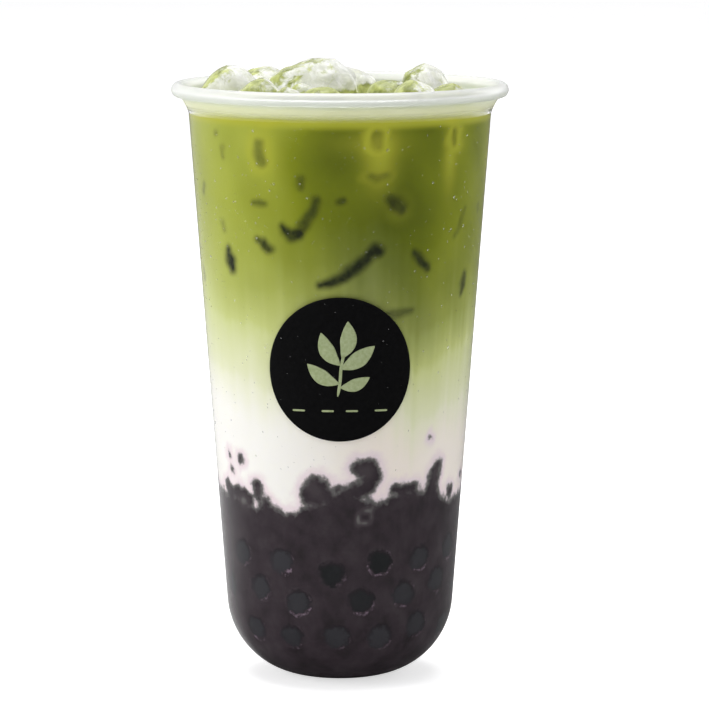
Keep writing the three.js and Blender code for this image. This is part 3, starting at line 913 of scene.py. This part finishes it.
def lens(spots, thickness, front, edge, steps, spokes, uneven, seed):
    """Closed lens against the wall, swept along a tapered line of (angle, height, half width).

    front and edge are the depths of its middle and of its outline.
    Returns the points, faces, and how near each point is to the middle, 0 at the outline.
    """
    spots = np.asarray(spots, float)
    if len(spots) == 1:
        spots = spots + np.array([[-0.2, -0.1, 0.0], [0.2, 0.1, 0.0]])
    line = eased(spots, 2) if len(spots) > 2 else spots
    radius = float(radius_under(front, line[:, 1].mean()))
    flat = np.stack([np.radians(line[:, 0]) * radius, line[:, 1]], axis=1)
    gaps = length_along(flat)
    length = gaps[-1]
    along = 0.5 - 0.5 * np.cos(np.linspace(0.08, np.pi - 0.08, steps))
    reach = along * (length + line[0, 2] + line[-1, 2]) - line[0, 2]
    inner = np.clip(reach, 0, length)
    near, far = np.minimum(inner + 0.02 * length, length), np.maximum(inner - 0.02 * length, 0)
    way = unit(point_along(near, gaps, flat) - point_along(far, gaps, flat))
    middle = point_along(inner, gaps, flat) + way * (reach - inner)[:, None]
    size = np.interp(inner, gaps, line[:, 2])
    taper = np.sqrt(np.maximum(1 - ((reach - inner) / size) ** 2, 0.004))[:, None]
    turn = full_turn(spokes)
    over, lift = np.cos(turn)[None, :], np.sin(turn)[None, :]
    random = np.random.default_rng(seed)
    wobble = np.ones((steps, spokes))
    for _ in range(6):
        phase = along[:, None] * random.uniform(4, 22) + np.sign(over) * random.uniform(0, 3)
        wobble = wobble + uneven * 0.4 * np.cos(phase + random.uniform(0, 6))
    offset = size[:, None] * taper * wobble * over
    place = middle[:, None, :] + sideways(way)[:, None, :] * offset[:, :, None]
    rise = (front - edge) * smooth_step(1.0, 0.3, np.abs(over)) * np.minimum(1, taper * 1.5)
    deep = np.where(lift >= 0, edge + rise, edge - thickness * lift * taper)
    points, faces = capped(on_wall(np.degrees(place[..., 0] / radius), place[..., 1], deep))
    share = (1 - np.abs(over)) * (lift >= 0) * taper
    return points, faces, np.r_[share.ravel(), 0, 0]


def build_specks():
    heap = Heap()
    for index, (angle, height, core) in enumerate(MASH_SPECKS):
        size = SPECK_MARGIN + core
        tall = size * 0.4
        line = [(angle - 0.3, height - tall, size * 0.8), (angle + 0.4, height + tall, size * 0.9)]
        heap.add(*lens(line, 1.2, MASH_DEPTH, LENS_EDGE_DEPTH, 14, 16, 0.15, 140 + index)[:2])
    piece = heap.build("mash_specks")
    store_fields(piece)
    dress(piece, purple_mash, "purple_mash")


def build_pearls():
    heap = Heap()
    steps, spokes = 22, 36
    fall = np.linspace(0.04, math.pi - 0.04, steps)
    turn = full_turn(spokes)
    random = np.random.default_rng(51)
    for index, (angle, height) in enumerate(PEARL_PLACES):
        size = PEARL_RADIUS * random.uniform(0.94, 1.05)
        dark = DARK_PEARLS.get(index, random.uniform(-0.1, 0.35))
        out = size * np.sin(fall) ** 0.75
        face = PEARL_DEPTH + 0.1 * np.sin(fall) ** 10
        deep = np.where(fall < math.pi / 2, face, PEARL_DEPTH + 0.1 - 1.75 * size * np.cos(fall))
        dented = 1 + 0.03 * np.cos(2 * turn + random.uniform(0, 6))
        dented = dented + 0.02 * np.cos(3 * turn + random.uniform(0, 6))
        up = out[:, None] * dented[None, :] * np.sin(turn)[None, :]
        across = out[:, None] * dented[None, :] * np.cos(turn)[None, :]
        radius = float(radius_under(PEARL_DEPTH, height))
        lean = math.cos(math.asin(min(1.0, max(0.0, (CORNER_CENTRE_HEIGHT - height) / CORNER_RADIUS))))
        heights = height + up * lean
        points, faces = capped(on_wall(angle + np.degrees(across / radius), heights, deep[:, None] + 0 * up))
        near = (out / size)[:, None] + 0.05 * np.cos(3 * turn + index)[None, :] * (out / size)[:, None]
        rim = np.tile(0.62 + 0.38 * np.sin(turn + 0.3), steps)
        heap.add(points, faces, near=np.r_[near.ravel(), 0, 0], rim=np.r_[rim, 0.6, 0.6], dark=dark)
    piece = heap.build("pearls")
    store_light(piece)
    flatten_backs(piece)
    dress(piece, dark_pearl, "purple_mash")


def build_seams():
    """Crescents under the pearls, and a few short threads between them."""
    heap = Heap()
    random = np.random.default_rng(61)
    for index, (angle, height) in enumerate(PEARL_PLACES):
        radius = float(radius_under(SEAM_DEPTH, height))
        under = (random.uniform(-140, -100), random.uniform(35, 75), 0.3, random.uniform(0.3, 0.9))
        beside = (random.uniform(-60, 30), random.uniform(15, 35), 0.2, random.uniform(0.0, 0.4))
        for start, sweep, wide, bright in (SEAM_ARCS.get(index, under), beside):
            turns = np.radians(np.linspace(start, start + sweep, 7))
            out = PEARL_RADIUS * (0.82 + 0.03 * np.cos(turns * 4 + index))
            spots = [angle + np.degrees(out * np.cos(turns) / radius), height + out * np.sin(turns)]
            spots[1] = np.maximum(spots[1], 6.0)
            sizes = wide * (1.2 + 0.9 * np.sin(np.linspace(0.3, 2.8, 7)))
            line = np.stack([*spots, sizes], axis=1)
            points, faces, share = lens(line, 0.3, SEAM_DEPTH, SEAM_DEPTH + 0.06, 20, 12, 0.5, 200 + index)
            heap.add(points, faces, share=share ** 0.8, bright=bright)
    piece = heap.build("milky_seams")
    store_light(piece)
    flatten_backs(piece)
    dress(piece, milky_seam, "purple_mash")


# Green and milk

def build_drink(cutter):
    low, high = MASH_LEVEL - 12.0, MATCHA_LEVEL + 0.3
    heights = np.linspace(low, high, 176)
    side = radius_under(DRINK_DEPTH, heights)
    bottom = [(share * side[0], low) for share in (0.05, 0.5)]
    top = [(share * side[-1], high) for share in (0.93, 0.8, 0.6, 0.4, 0.2, 0.05)]
    body = lathed("milk_and_matcha", 390, np.array([*bottom, *zip(side, heights), *top]))
    carve(body, cutter)
    store_fields(body)
    dress(body, matcha_and_milk, "green_matcha", "matcha_layer", "milk_layer")


MARK_WIDTH = 1.3
HALO_GAP, HALO_WIDTH = 1.3, 1.9
# Ice that is wholly sunk in the drink and touches the wall: tapered line of
# (angle, height, half width), darkness of the painted shade that stands for the dim drink seen through it,
# and how brightly the drink glows round it
SUNK_MARKS = [
    ([(-55.3, 155.5, 0.5)], 0.35, 0),
    ([(-51.2, 151.5, 0.45), (-50.9, 149.3, 0.45)], 0.3, 0),
    ([(-32.7, 153.3, 0.95), (-31.5, 148.7, 1.2)], 0.55, 0.45),
    ([(14.1, 156, 1.0), (14.3, 153.5, 1.05)], 0.35, 0.9),
    ([(12.1, 145, 0.35), (14.9, 144.3, 0.7), (18.1, 145.2, 0.35)], 0.4, 0.35),
    ([(49, 156.3, 0.45), (49, 153.2, 0.5)], 0.3, 0.7),
    ([(-68.1, 140.5, 0.5), (-69.1, 138.5, 0.5)], 0.4, 0),
    ([(-54.4, 130.7, 0.6), (-53.3, 128.8, 0.5)], 0.3, 0),
    ([(-36.2, 137.1, 0.3), (-33.7, 137.1, 0.55), (-30.9, 137, 0.3)], 0.55, 0),
    ([(-35.1, 126.8, 0.6), (-32, 125.8, 1.15), (-29.5, 124.4, 0.9)], 0.85, 0),
    ([(-51.8, 123, 1.2), (-51.1, 120.3, 1.7), (-49.6, 118.1, 1.2)], 0.97, 0),
    ([(-15, 143.9, 0.95), (-15.4, 142.5, 1.2)], 0.5, 0),
    ([(-9.2, 138.2, 0.95), (-11.4, 134.5, 1.1), (-14.8, 131.2, 1.3), (-16.5, 129.2, 1.2)], 0.76, 0),
    ([(-23.7, 131, 0.55), (-22, 129.6, 1.0), (-19.7, 128.4, 1.3), (-16.5, 129.2, 1.3)], 0.97, 0),
    ([(0.2, 138, 0.55), (1.6, 138.3, 0.45)], 0.6, 0),
    ([(20.6, 138.4, 1.1), (22.6, 137.1, 1.5), (24.8, 135.8, 1.4)], 0.74, 0.08),
    ([(-8.6, 114.8, 0.7), (-4, 115.6, 1.05), (2.1, 117.4, 1.2), (8.2, 120.6, 1.3),
      (11.8, 122.8, 1.4)], 1.0, 0),
    ([(11.8, 123.2, 1.35), (14.7, 124.4, 1.7)], 1.0, 0),
    ([(31.6, 123.3, 0.6), (34.7, 121.1, 1.05), (38.2, 119, 0.9)], 0.9, 0),
    ([(62.9, 115.6, 0.8), (62.3, 112.8, 1.3), (60.8, 110.7, 0.8)], 0.8, 0),
    ([(60.1, 134.3, 0.35), (56.8, 130.6, 0.6), (53.7, 127.1, 0.4)], 0.32, 0),
    ([(72.4, 134.4, 0.4), (72.4, 133.2, 0.4)], 0.3, 0),
    ([(20.6, 106.7, 0.55), (24.7, 106.6, 0.85), (30.8, 107.2, 0.45)], 0.6, 0),
    ([(-77.3, 116.3, 0.4), (-76.9, 113.5, 0.4)], 0.45, 0),
    ([(88, 150, 0.9), (90, 144, 1.0)], 0.5, 0.4),
    ([(97, 128, 0.6), (101, 124, 1.1), (107, 122, 0.8)], 0.85, 0),
    ([(104, 148, 0.8), (106, 151, 1.0)], 0.5, 0.4),
    ([(116, 116, 0.7), (118, 110, 1.1)], 0.85, 0),
    ([(126, 141, 0.8), (129, 133, 1.1), (134, 129, 1.2), (140, 129, 0.7)], 0.9, 0),
    ([(139, 152, 1.0), (140, 146, 1.2)], 0.45, 0.3),
    ([(146, 113, 0.5), (152, 115, 1.0), (158, 119, 1.2), (162, 124, 1.5)], 0.95, 0),
    ([(155, 138, 0.7), (158, 139, 0.6)], 0.7, 0),
    ([(169, 152, 0.9), (170, 147, 1.1)], 0.45, 0.3),
    ([(173, 130, 0.8), (175, 126, 0.9)], 0.8, 0),
    ([(183, 112, 0.7), (186, 109, 0.8)], 0.7, 0),
    ([(190, 141, 0.8), (193, 135, 1.2)], 0.8, 0.2),
    ([(201, 152, 0.8), (203, 149, 1.1)], 0.5, 0.25),
    ([(207, 124, 0.7), (213, 121, 1.2), (220, 121, 0.7)], 0.95, 0),
    ([(212, 139, 0.7), (214, 136, 0.8)], 0.7, 0),
    ([(229, 148, 1.0), (230, 142, 1.1)], 0.6, 0.4),
    ([(236, 118, 0.9), (238, 113, 1.2)], 0.85, 0),
    ([(243, 132, 0.7), (247, 129, 1.1), (249, 124, 0.8)], 0.85, 0),
    ([(258, 151, 0.8), (259, 146, 1.0)], 0.5, 0.25),
    ([(264, 116, 0.6), (270, 118, 1.1), (275, 122, 0.8)], 0.85, 0),
    ([(271, 138, 0.8), (272, 133, 0.9)], 0.7, 0),
]


def widened(line):
    return [(angle, height, size * MARK_WIDTH) for angle, height, size in line]


def store_light(piece):
    """Stores how light the mash is at each point: painted light on its left side, towards the key light, light
    grey spots, and darker towards the bottom.
    """
    angle, _, height = place_of(piece)
    # Painted light: the mash is lighter on its left, towards the key light
    light = swell([(-88, 0.22, 34)], angle) - smooth_step(34, 10, height) * 0.04
    values_of(piece, "light", light + patches(LIGHT_SPOTS, angle, height))


def store_fields(piece):
    """Stores what the materials of the drink, the mash and the sunk ice read."""
    angle, _, height = place_of(piece)
    mark = np.zeros(len(angle))
    glow = glow_share(angle, height)
    bent = angle + ripple(angle, height, 23, 20, 60, 5.0) * 0.7
    # Painted shade where sunk ice touches the wall, and the glow round some of it
    for line, darkness, halo in SUNK_MARKS:
        gap = gap_to(widened(line), bent, height)
        size = max(spot[2] for spot in line)
        mark = np.maximum(mark, darkness * smooth_step(1.3, -0.9 * size, gap))
        glow = np.maximum(glow, halo * np.exp(-(((gap - HALO_GAP) / HALO_WIDTH) ** 2)))
    near = height < 80
    gap = np.full(len(angle), 20.0)
    gap[near] = mash_gap(angle[near], height[near], specks=True)
    values_of(piece, "milk", milk_share(angle, height))
    values_of(piece, "shade", shade_share(angle, height))
    values_of(piece, "glow", np.clip(glow, 0, 1))
    values_of(piece, "mark", mark)
    values_of(piece, "milk_shade", np.clip(swell(MILK_SHADE_SWELLS, angle), 0, 1))
    values_of(piece, "gap", gap)
    store_light(piece)


def build_sunk_ice():
    heap = Heap()
    for index, (line, _, _) in enumerate(SUNK_MARKS):
        heap.add(*lens(widened(line), 3.0, CHUNK_DEPTH, LENS_EDGE_DEPTH, 26, 20, 0.1, 300 + index)[:2])
    piece = heap.build("sunk_ice")
    store_fields(piece)
    flatten_backs(piece)
    dress(piece, sunk_ice, "ice")


# Froth

FROTH_SAG = 0.45  # how far the froth sinks away from the wall
FROTH_SWELLS = [
    (3, -0.8, 11), (30, 1.9, 9.5), (62, -2.7, 13), (-88, -0.3, 12), (140, -1.7, 24),
    (210, 0.7, 20), (290, 0.5, 20),
]


def froth_top(angle, radius):
    reach = smooth_step(29, 40.5, radius)
    rise = FROTH_RISE_AT_WALL + swell(FROTH_SWELLS, angle)
    rough = ripple(angle, radius, 71, 18, 40, 9.0) * 0.16 + ripple(angle, radius, 72, 18, 120, 4.0) * 0.07
    return FROTH_LEVEL + reach * rise - (1 - reach) * 0.3 + rough


def build_froth(cutter):
    turn = round_cup(480)
    bottom = MATCHA_LEVEL - 0.2
    wall = float(radius_under(FROTH_DEPTH, bottom))
    edge = froth_top(turn, 41.6)
    rows = [(np.full_like(turn, wall * share), np.full_like(turn, bottom)) for share in (0.05, 0.5, 0.9)]
    for share in np.linspace(0, 1, 12):
        height = bottom + (edge - bottom) * share
        flare = np.where(height > FLARE_HEIGHT, smooth_step(161.2, 165.5, height) * 0.9, 0)
        rows.append((radius_under(FROTH_DEPTH, height) + flare, height))
    brink = rows[-1][0]
    for inset in (0.15, 0.5, 1.0, 1.6, 2.4):
        sag = FROTH_SAG * smooth_step(0, 2.2, inset)
        rows.append((brink - inset, froth_top(turn, brink - inset) - sag + 0.05))
    for radius in np.r_[np.arange(38.6, 8, -0.7), 7, 5.5, 4, 2.5, 1.2, 0.4]:
        rows.append((np.full_like(turn, radius), froth_top(turn, radius) - FROTH_SAG))
    body = ringed("foam_layer", turn, rows)
    carve(body, cutter)
    store_paleness(body)
    dress(body, pale_foam, "pale_froth", "froth")


def store_paleness(body):
    """Stores how pale the froth is: by height at the wall, in clouds on top."""
    angle, radius, height = place_of(body)
    wave = ripple(angle, 0.0, 74, 14, 30, 9.0) * 0.25
    places = [Vector(point) for point in points_of(body)]
    cloud = np.array([noise.noise(place * 0.09) + 0.5 * noise.noise(place * 0.24) for place in places])
    on_top = np.clip(0.85 + 0.9 * cloud, 0.35, 1)
    inside = smooth_step(41.3, 39.8, radius)
    at_wall = smooth_step(160.8, 162.6, height + wave)
    values_of(body, "paleness", at_wall * (1 - inside) + on_top * inside)


def domes(centres, normals, radii, heights, spokes, rings=3):
    """Points and faces of many small domes, each closed underneath."""
    upright = np.abs(normals[:, 2:3]) > 0.9
    helper = np.where(upright, np.array([[1.0, 0.0, 0.0]]), np.array([[0.0, 0.0, 1.0]]))
    across = unit(np.cross(helper, normals))
    beside = np.cross(normals, across)
    shape = [(0.0, 0.0, 0.0)]
    for ring in range(rings):
        slope = math.pi / 2 * ring / rings
        out, up = math.cos(slope), math.sin(slope)
        shape.extend((out * math.cos(turn), out * math.sin(turn), up) for turn in full_turn(spokes))
    shape = np.array([*shape, (0.0, 0.0, 1.0)])
    faces = [[0, 1 + (spoke + 1) % spokes, 1 + spoke] for spoke in range(spokes)]
    faces += [[corner + 1 for corner in face] for face in ring_faces(rings, spokes)]
    last = 1 + (rings - 1) * spokes
    faces += [[len(shape) - 1, last + spoke, last + (spoke + 1) % spokes] for spoke in range(spokes)]
    points = centres[:, None, :]
    for axis, way, size in ((0, across, radii), (1, beside, radii), (2, normals, heights)):
        points = points + way[:, None, :] * (size[:, None, None] * shape[None, :, axis:axis + 1])
    every = [[corner + part * len(shape) for corner in face] for part in range(len(centres)) for face in faces]
    return points.reshape(-1, 3), every


def build_bubbles():
    """Bubbles on the froth's top, most of them in the ring by the wall."""
    random = np.random.default_rng(81)
    count = 1500
    angle = random.uniform(-180, 180, count)
    hump = random.uniform(14, 46, count // 3)
    angle[: len(hump)] = hump
    radius = 41.3 - np.abs(random.normal(0, 3.4, count))
    height = froth_top(angle, radius) - FROTH_SAG * smooth_step(0, 2.2, 42.4 - radius)
    size = random.lognormal(math.log(0.32), 0.45, count).clip(0.15, 0.95)
    centres = at_angle(angle, radius, height - 0.1 * size)
    normals = np.tile([[0.0, 0.0, 1.0]], (count, 1))
    piece = mesh_object("foam_bubbles", *domes(centres, normals, size, size * 0.8, 10))
    dress(piece, bubble_skin, "pale_froth")


# Standing ice

# The CAD blocks, and how much drink clings to each
ICE_BLOCKS = {
    "ice_large_middle": 0.0,
    "ice_left": 0.0,
    "ice_right": 0.0,
    "ice_front_left": 0.35,
    "ice_front_right": 0.45,
    "ice_front_middle": 0.7,
    "ice_small_left": 0.25,
    "ice_between": 0.2,
    "ice_middle_right": 0.5,
    "ice_edge_right": 0.5,
    "ice_back_left": 0.0,
    "ice_back": 0.0,
}


def melted(name, clinging, index):
    """A block of ice with soft corners and shallow hollows, from its plain CAD block."""
    block = linked(name + "_melted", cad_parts[name].data.copy())
    block.data.materials.clear()
    remesh = block.modifiers.new("remesh", "REMESH")
    remesh.mode = "VOXEL"
    remesh.voxel_size = 0.6 * MM
    soften = block.modifiers.new("soften", "SMOOTH")
    soften.factor = 0.5
    soften.iterations = 22
    bake_modifiers(block)
    mesh = block.data
    normals = read_points(block, "normal")
    points = points_of(block)
    shift = Vector((index * 31.7, index * 17.3, index * 9.1))
    places = [Vector(point) for point in points]
    lift = [0.55 * noise.noise(at * 0.11 + shift) + 0.2 * noise.noise(at * 0.33 + shift) for at in places]
    points = points + normals * (np.array(lift)[:, None] + 0.4)
    mesh.vertices.foreach_set("co", (points * MM).ravel())
    mesh.polygons.foreach_set("use_smooth", [True] * len(mesh.polygons))
    mesh.update()
    # Greener on the faces that turn up and to the left, and at the foot, where the block stands in the drink
    edge = smooth_step(0.25, 0.85, normals @ np.array([-0.62, -0.1, 0.55])) * 0.7
    foot = smooth_step(167.2, 164.4, points[:, 2])
    values_of(block, "tint", np.maximum(edge, foot) + clinging)
    return block


def ice_cutter(blocks):
    """The blocks drawn in by a hair, so that the drink reaches just into them when it is carved."""
    heap = Heap()
    for block in blocks:
        points = points_of(block) - read_points(block, "normal") * 0.16
        heap.add(points, [list(polygon.vertices) for polygon in block.data.polygons])
    return heap.build("ice_cutter")


def carve(piece, cutter):
    cut = piece.modifiers.new("carve", "BOOLEAN")
    cut.operation = "DIFFERENCE"
    cut.solver = "MANIFOLD"
    cut.object = cutter
    bake_modifiers(piece)


# Label

LABEL_RADIUS = 20.25
LABEL_HEIGHT = 91.4
LABEL_FACE = 0.36  # how far the label's face stands off the wall
LABEL_BACK = 0.06
LABEL_WALL_RADIUS = 37.4  # of the wall behind the label's middle


def on_label(across, up, stand):
    height = LABEL_HEIGHT + up * math.cos(TAPER_ANGLE)
    return at_angle(np.degrees(across / wall_radius(height)), wall_radius(height) + stand, height)


def build_label():
    turn = full_turn(192)[None, :]
    rings = [(0.02, LABEL_FACE)]
    rings += [(share, LABEL_FACE) for share in np.linspace(0.08, 0.98, 26)]
    rings += [(0.991, LABEL_FACE - 0.03), (0.998, LABEL_FACE - 0.1), (1.0, LABEL_FACE - 0.2)]
    rings += [(0.995, LABEL_BACK)] + [(share, LABEL_BACK) for share in np.linspace(0.92, 0.02, 14)]
    line = np.array(rings)
    out = LABEL_RADIUS * line[:, :1]
    label = mesh_object("round_label", *capped(on_label(out * np.cos(turn), out * np.sin(turn), line[:, 1:])))
    outward(label)
    dress(label, black_film, "black_label", "label")


# Sprig of leaves on the label: line of (across, up), half width and how blunt its ends are
SPRIG = [
    ([(-0.6, -7.6), (0.1, -3.4), (0.3, 1.0), (1.4, 5.6), (2.6, 9.0)], 0.42, 12.0),
    ([(0.5, 3.2), (2.6, 7.6), (2.2, 13.6)], 2.3, 1.7),
    ([(0.2, 0.2), (4.4, 2.2), (9.6, 6.6)], 2.3, 1.7),
    ([(0.1, 1.2), (-3.6, 4.8), (-5.2, 10.4)], 2.2, 1.7),
    ([(-0.1, -4.0), (-4.6, -2.6), (-9.0, 1.6)], 2.1, 1.7),
    ([(0.0, -5.0), (4.0, -4.6), (8.2, -2.2)], 1.8, 1.7),
]
PRINT_DASHES = [(-13.2, -9.6), (-5.0, -1.6), (1.6, 5.0), (9.6, 13.2)]
DASH_LEVEL = -11.6


def print_strip(heap, line, half_width, blunt):
    """Thin raised print on the label along a line of (across, up)."""
    line = eased(np.asarray(line, float), 3)
    gaps = length_along(line)
    along = 0.5 - 0.5 * np.cos(np.linspace(0.06, math.pi - 0.06, 34))
    middle = point_along(along * gaps[-1], gaps, line)
    side = sideways(unit(np.gradient(middle, axis=0)))
    width = half_width * (1 - np.abs(2 * along - 1) ** blunt) ** 0.9
    turn = full_turn(12)
    place = middle[:, None, :] + side[:, None, :] * (width[:, None] * np.cos(turn)[None, :])[:, :, None]
    stand = LABEL_FACE + 0.035 * np.clip(np.sin(turn) * 2, -1, 1)
    heap.add(*capped(on_label(place[..., 0], place[..., 1], stand[None, :] + 0 * place[..., 0])))


def build_print():
    heap = Heap()
    for line, half_width, blunt in SPRIG:
        print_strip(heap, line, half_width, blunt)
    for start, end in PRINT_DASHES:
        line = [(start, DASH_LEVEL), ((start + end) / 2, DASH_LEVEL), (end, DASH_LEVEL)]
        print_strip(heap, line, 0.28, 14.0)
    dress(heap.build("label_sprig"), pale_print, "black_label")


# Condensation

def wall_normals(angle):
    flat = at_angle(angle, math.cos(TAPER_ANGLE), 0.0)
    return flat - np.array([0.0, 0.0, math.sin(TAPER_ANGLE)])


def build_condensation():
    random = np.random.default_rng(91)
    count = 3600
    low, high = 62, 158
    angle = random.uniform(-180, 180, count)
    height = random.uniform(low, high, count)
    thick = 0.4 + 0.5 * ripple(angle, height, 92, 12, 9, 40.0) + 0.35 * np.cos(np.radians(angle + 20))
    kept = (random.uniform(0, 1.1, count) < thick) & (random.uniform(0, 1, count) < 0.15 + (height - low) / 90)
    angle, height = angle[kept], height[kept]
    size = random.lognormal(math.log(0.15), 0.4, len(angle)).clip(0.08, 0.5)
    past_label = np.hypot(np.radians(angle) * LABEL_WALL_RADIUS, height - LABEL_HEIGHT) - LABEL_RADIUS
    stand = np.where(past_label < -0.6, LABEL_FACE + 0.01, 0.01)
    dropped = (np.abs(past_label) < 0.9) | ((past_label < 0) & (random.uniform(0, 1, len(angle)) < 0.6))
    angle, height, size, stand = (values[~dropped] for values in (angle, height, size, stand))
    centres = at_angle(angle, wall_radius(height) + stand, height)
    flatness = random.uniform(0.12, 0.24, len(size))
    piece = mesh_object("condensation", *domes(centres, wall_normals(angle), size, size * flatness, 8))
    dress(piece, condensation, "clear_plastic")


# Stage, light and camera

def build_floor():
    radii, columns, level = (50.0, 200.0, 600.0, 1500.0, 4000.0, 9000.0), 96, -0.02
    points = np.concatenate([at_angle(round_cup(columns), radius, level) for radius in radii])
    faces = ring_faces(len(radii), columns) + [list(range(columns))[::-1]]
    floor = mesh_object("floor", points, faces, smooth=False)
    floor.data.materials.append(material_from(pale_floor))
    for polygon in floor.data.polygons:
        if polygon.normal.z < 0:
            polygon.flip()


def area_light(name, place, size, energy):
    lamp = bpy.data.lights.new(name, "AREA")
    lamp.shape = "RECTANGLE"
    lamp.size, lamp.size_y = size
    lamp.energy = energy
    made = linked(name, lamp)
    made.location = place
    return made


def aimed(lamp, height):
    """Turns a lamp to the cup's axis at some height."""
    way = Vector((0, 0, height)) - lamp.location
    lamp.rotation_euler = way.to_track_quat("-Z", "Y").to_euler()


def build_light():
    aimed(area_light("key_softbox", (-1.5, -0.3, 0.62), (0.9, 1.3), 10.0), 0.09)
    aimed(area_light("top_softbox", (-0.1, 0.35, 1.7), (1.3, 1.3), 20.0), 0.1)
    aimed(area_light("back_softbox", (1.3, 1.2, 0.7), (0.8, 1.0), 6.0), 0.1)
    world = bpy.data.worlds.new("studio")
    bpy.context.scene.world = world
    world.use_nodes = True
    tree = world.node_tree
    tree.nodes.clear()
    way = put(tree, "TexCoord").outputs["Generated"]
    up = put(tree, "SeparateXYZ", {0: way}).outputs[2]
    stops = [(0.3, grey(0.42)), (0.5, grey(0.68)), (0.72, (0.35, 0.35, 0.36))]
    cast = ramp(tree, even_range(tree, up, -1.0, 1.0), stops)
    mirrored = mixed(tree, left_and_behind(tree, way), grey(0.2), grey(0.8))
    mirrored = mixed(tree, soft_range(tree, up, 0.0, 0.3), mirrored, grey(0.85))
    back = put(tree, "Background", {"Color": by_ray(tree, grey(1.0), cast, mirrored), "Strength": 1.0})
    put(tree, "OutputWorld", {"Surface": back.outputs[0]})


def build_camera():
    view = bpy.data.cameras.new("camera")
    view.sensor_width = 36.0
    view.lens = 216.94
    view.shift_x = 0.0206
    view.clip_start = 0.05
    view.clip_end = 60.0
    camera = linked("camera", view)
    camera.location = (0.0, -1.2, 0.25107)
    camera.rotation_euler = (math.pi / 2 - 0.1329, 0.0, 0.0)
    bpy.context.scene.camera = camera


def set_quality():
    scene = bpy.context.scene
    scene.view_settings.view_transform = "Standard"
    bounces = {"max": 20, "transmission": 18, "transparent_max": 24, "diffuse": 4, "glossy": 4}
    for kind, count in bounces.items():
        setattr(scene.cycles, kind + "_bounces", count)


def build_all():
    build_camera()
    set_quality()
    build_light()
    build_floor()
    blocks = [melted(name, clinging, index) for index, (name, clinging) in enumerate(ICE_BLOCKS.items())]
    cutter = ice_cutter(blocks)
    build_cup()
    build_drink(cutter)
    build_froth(cutter)
    bpy.data.objects.remove(cutter)
    for block, name in zip(blocks, ICE_BLOCKS):
        dress(block, clear_ice, "ice", name)
    build_mash()
    build_specks()
    build_pearls()
    build_seams()
    build_sunk_ice()
    build_bubbles()
    build_label()
    build_print()
    build_condensation()


build_all()
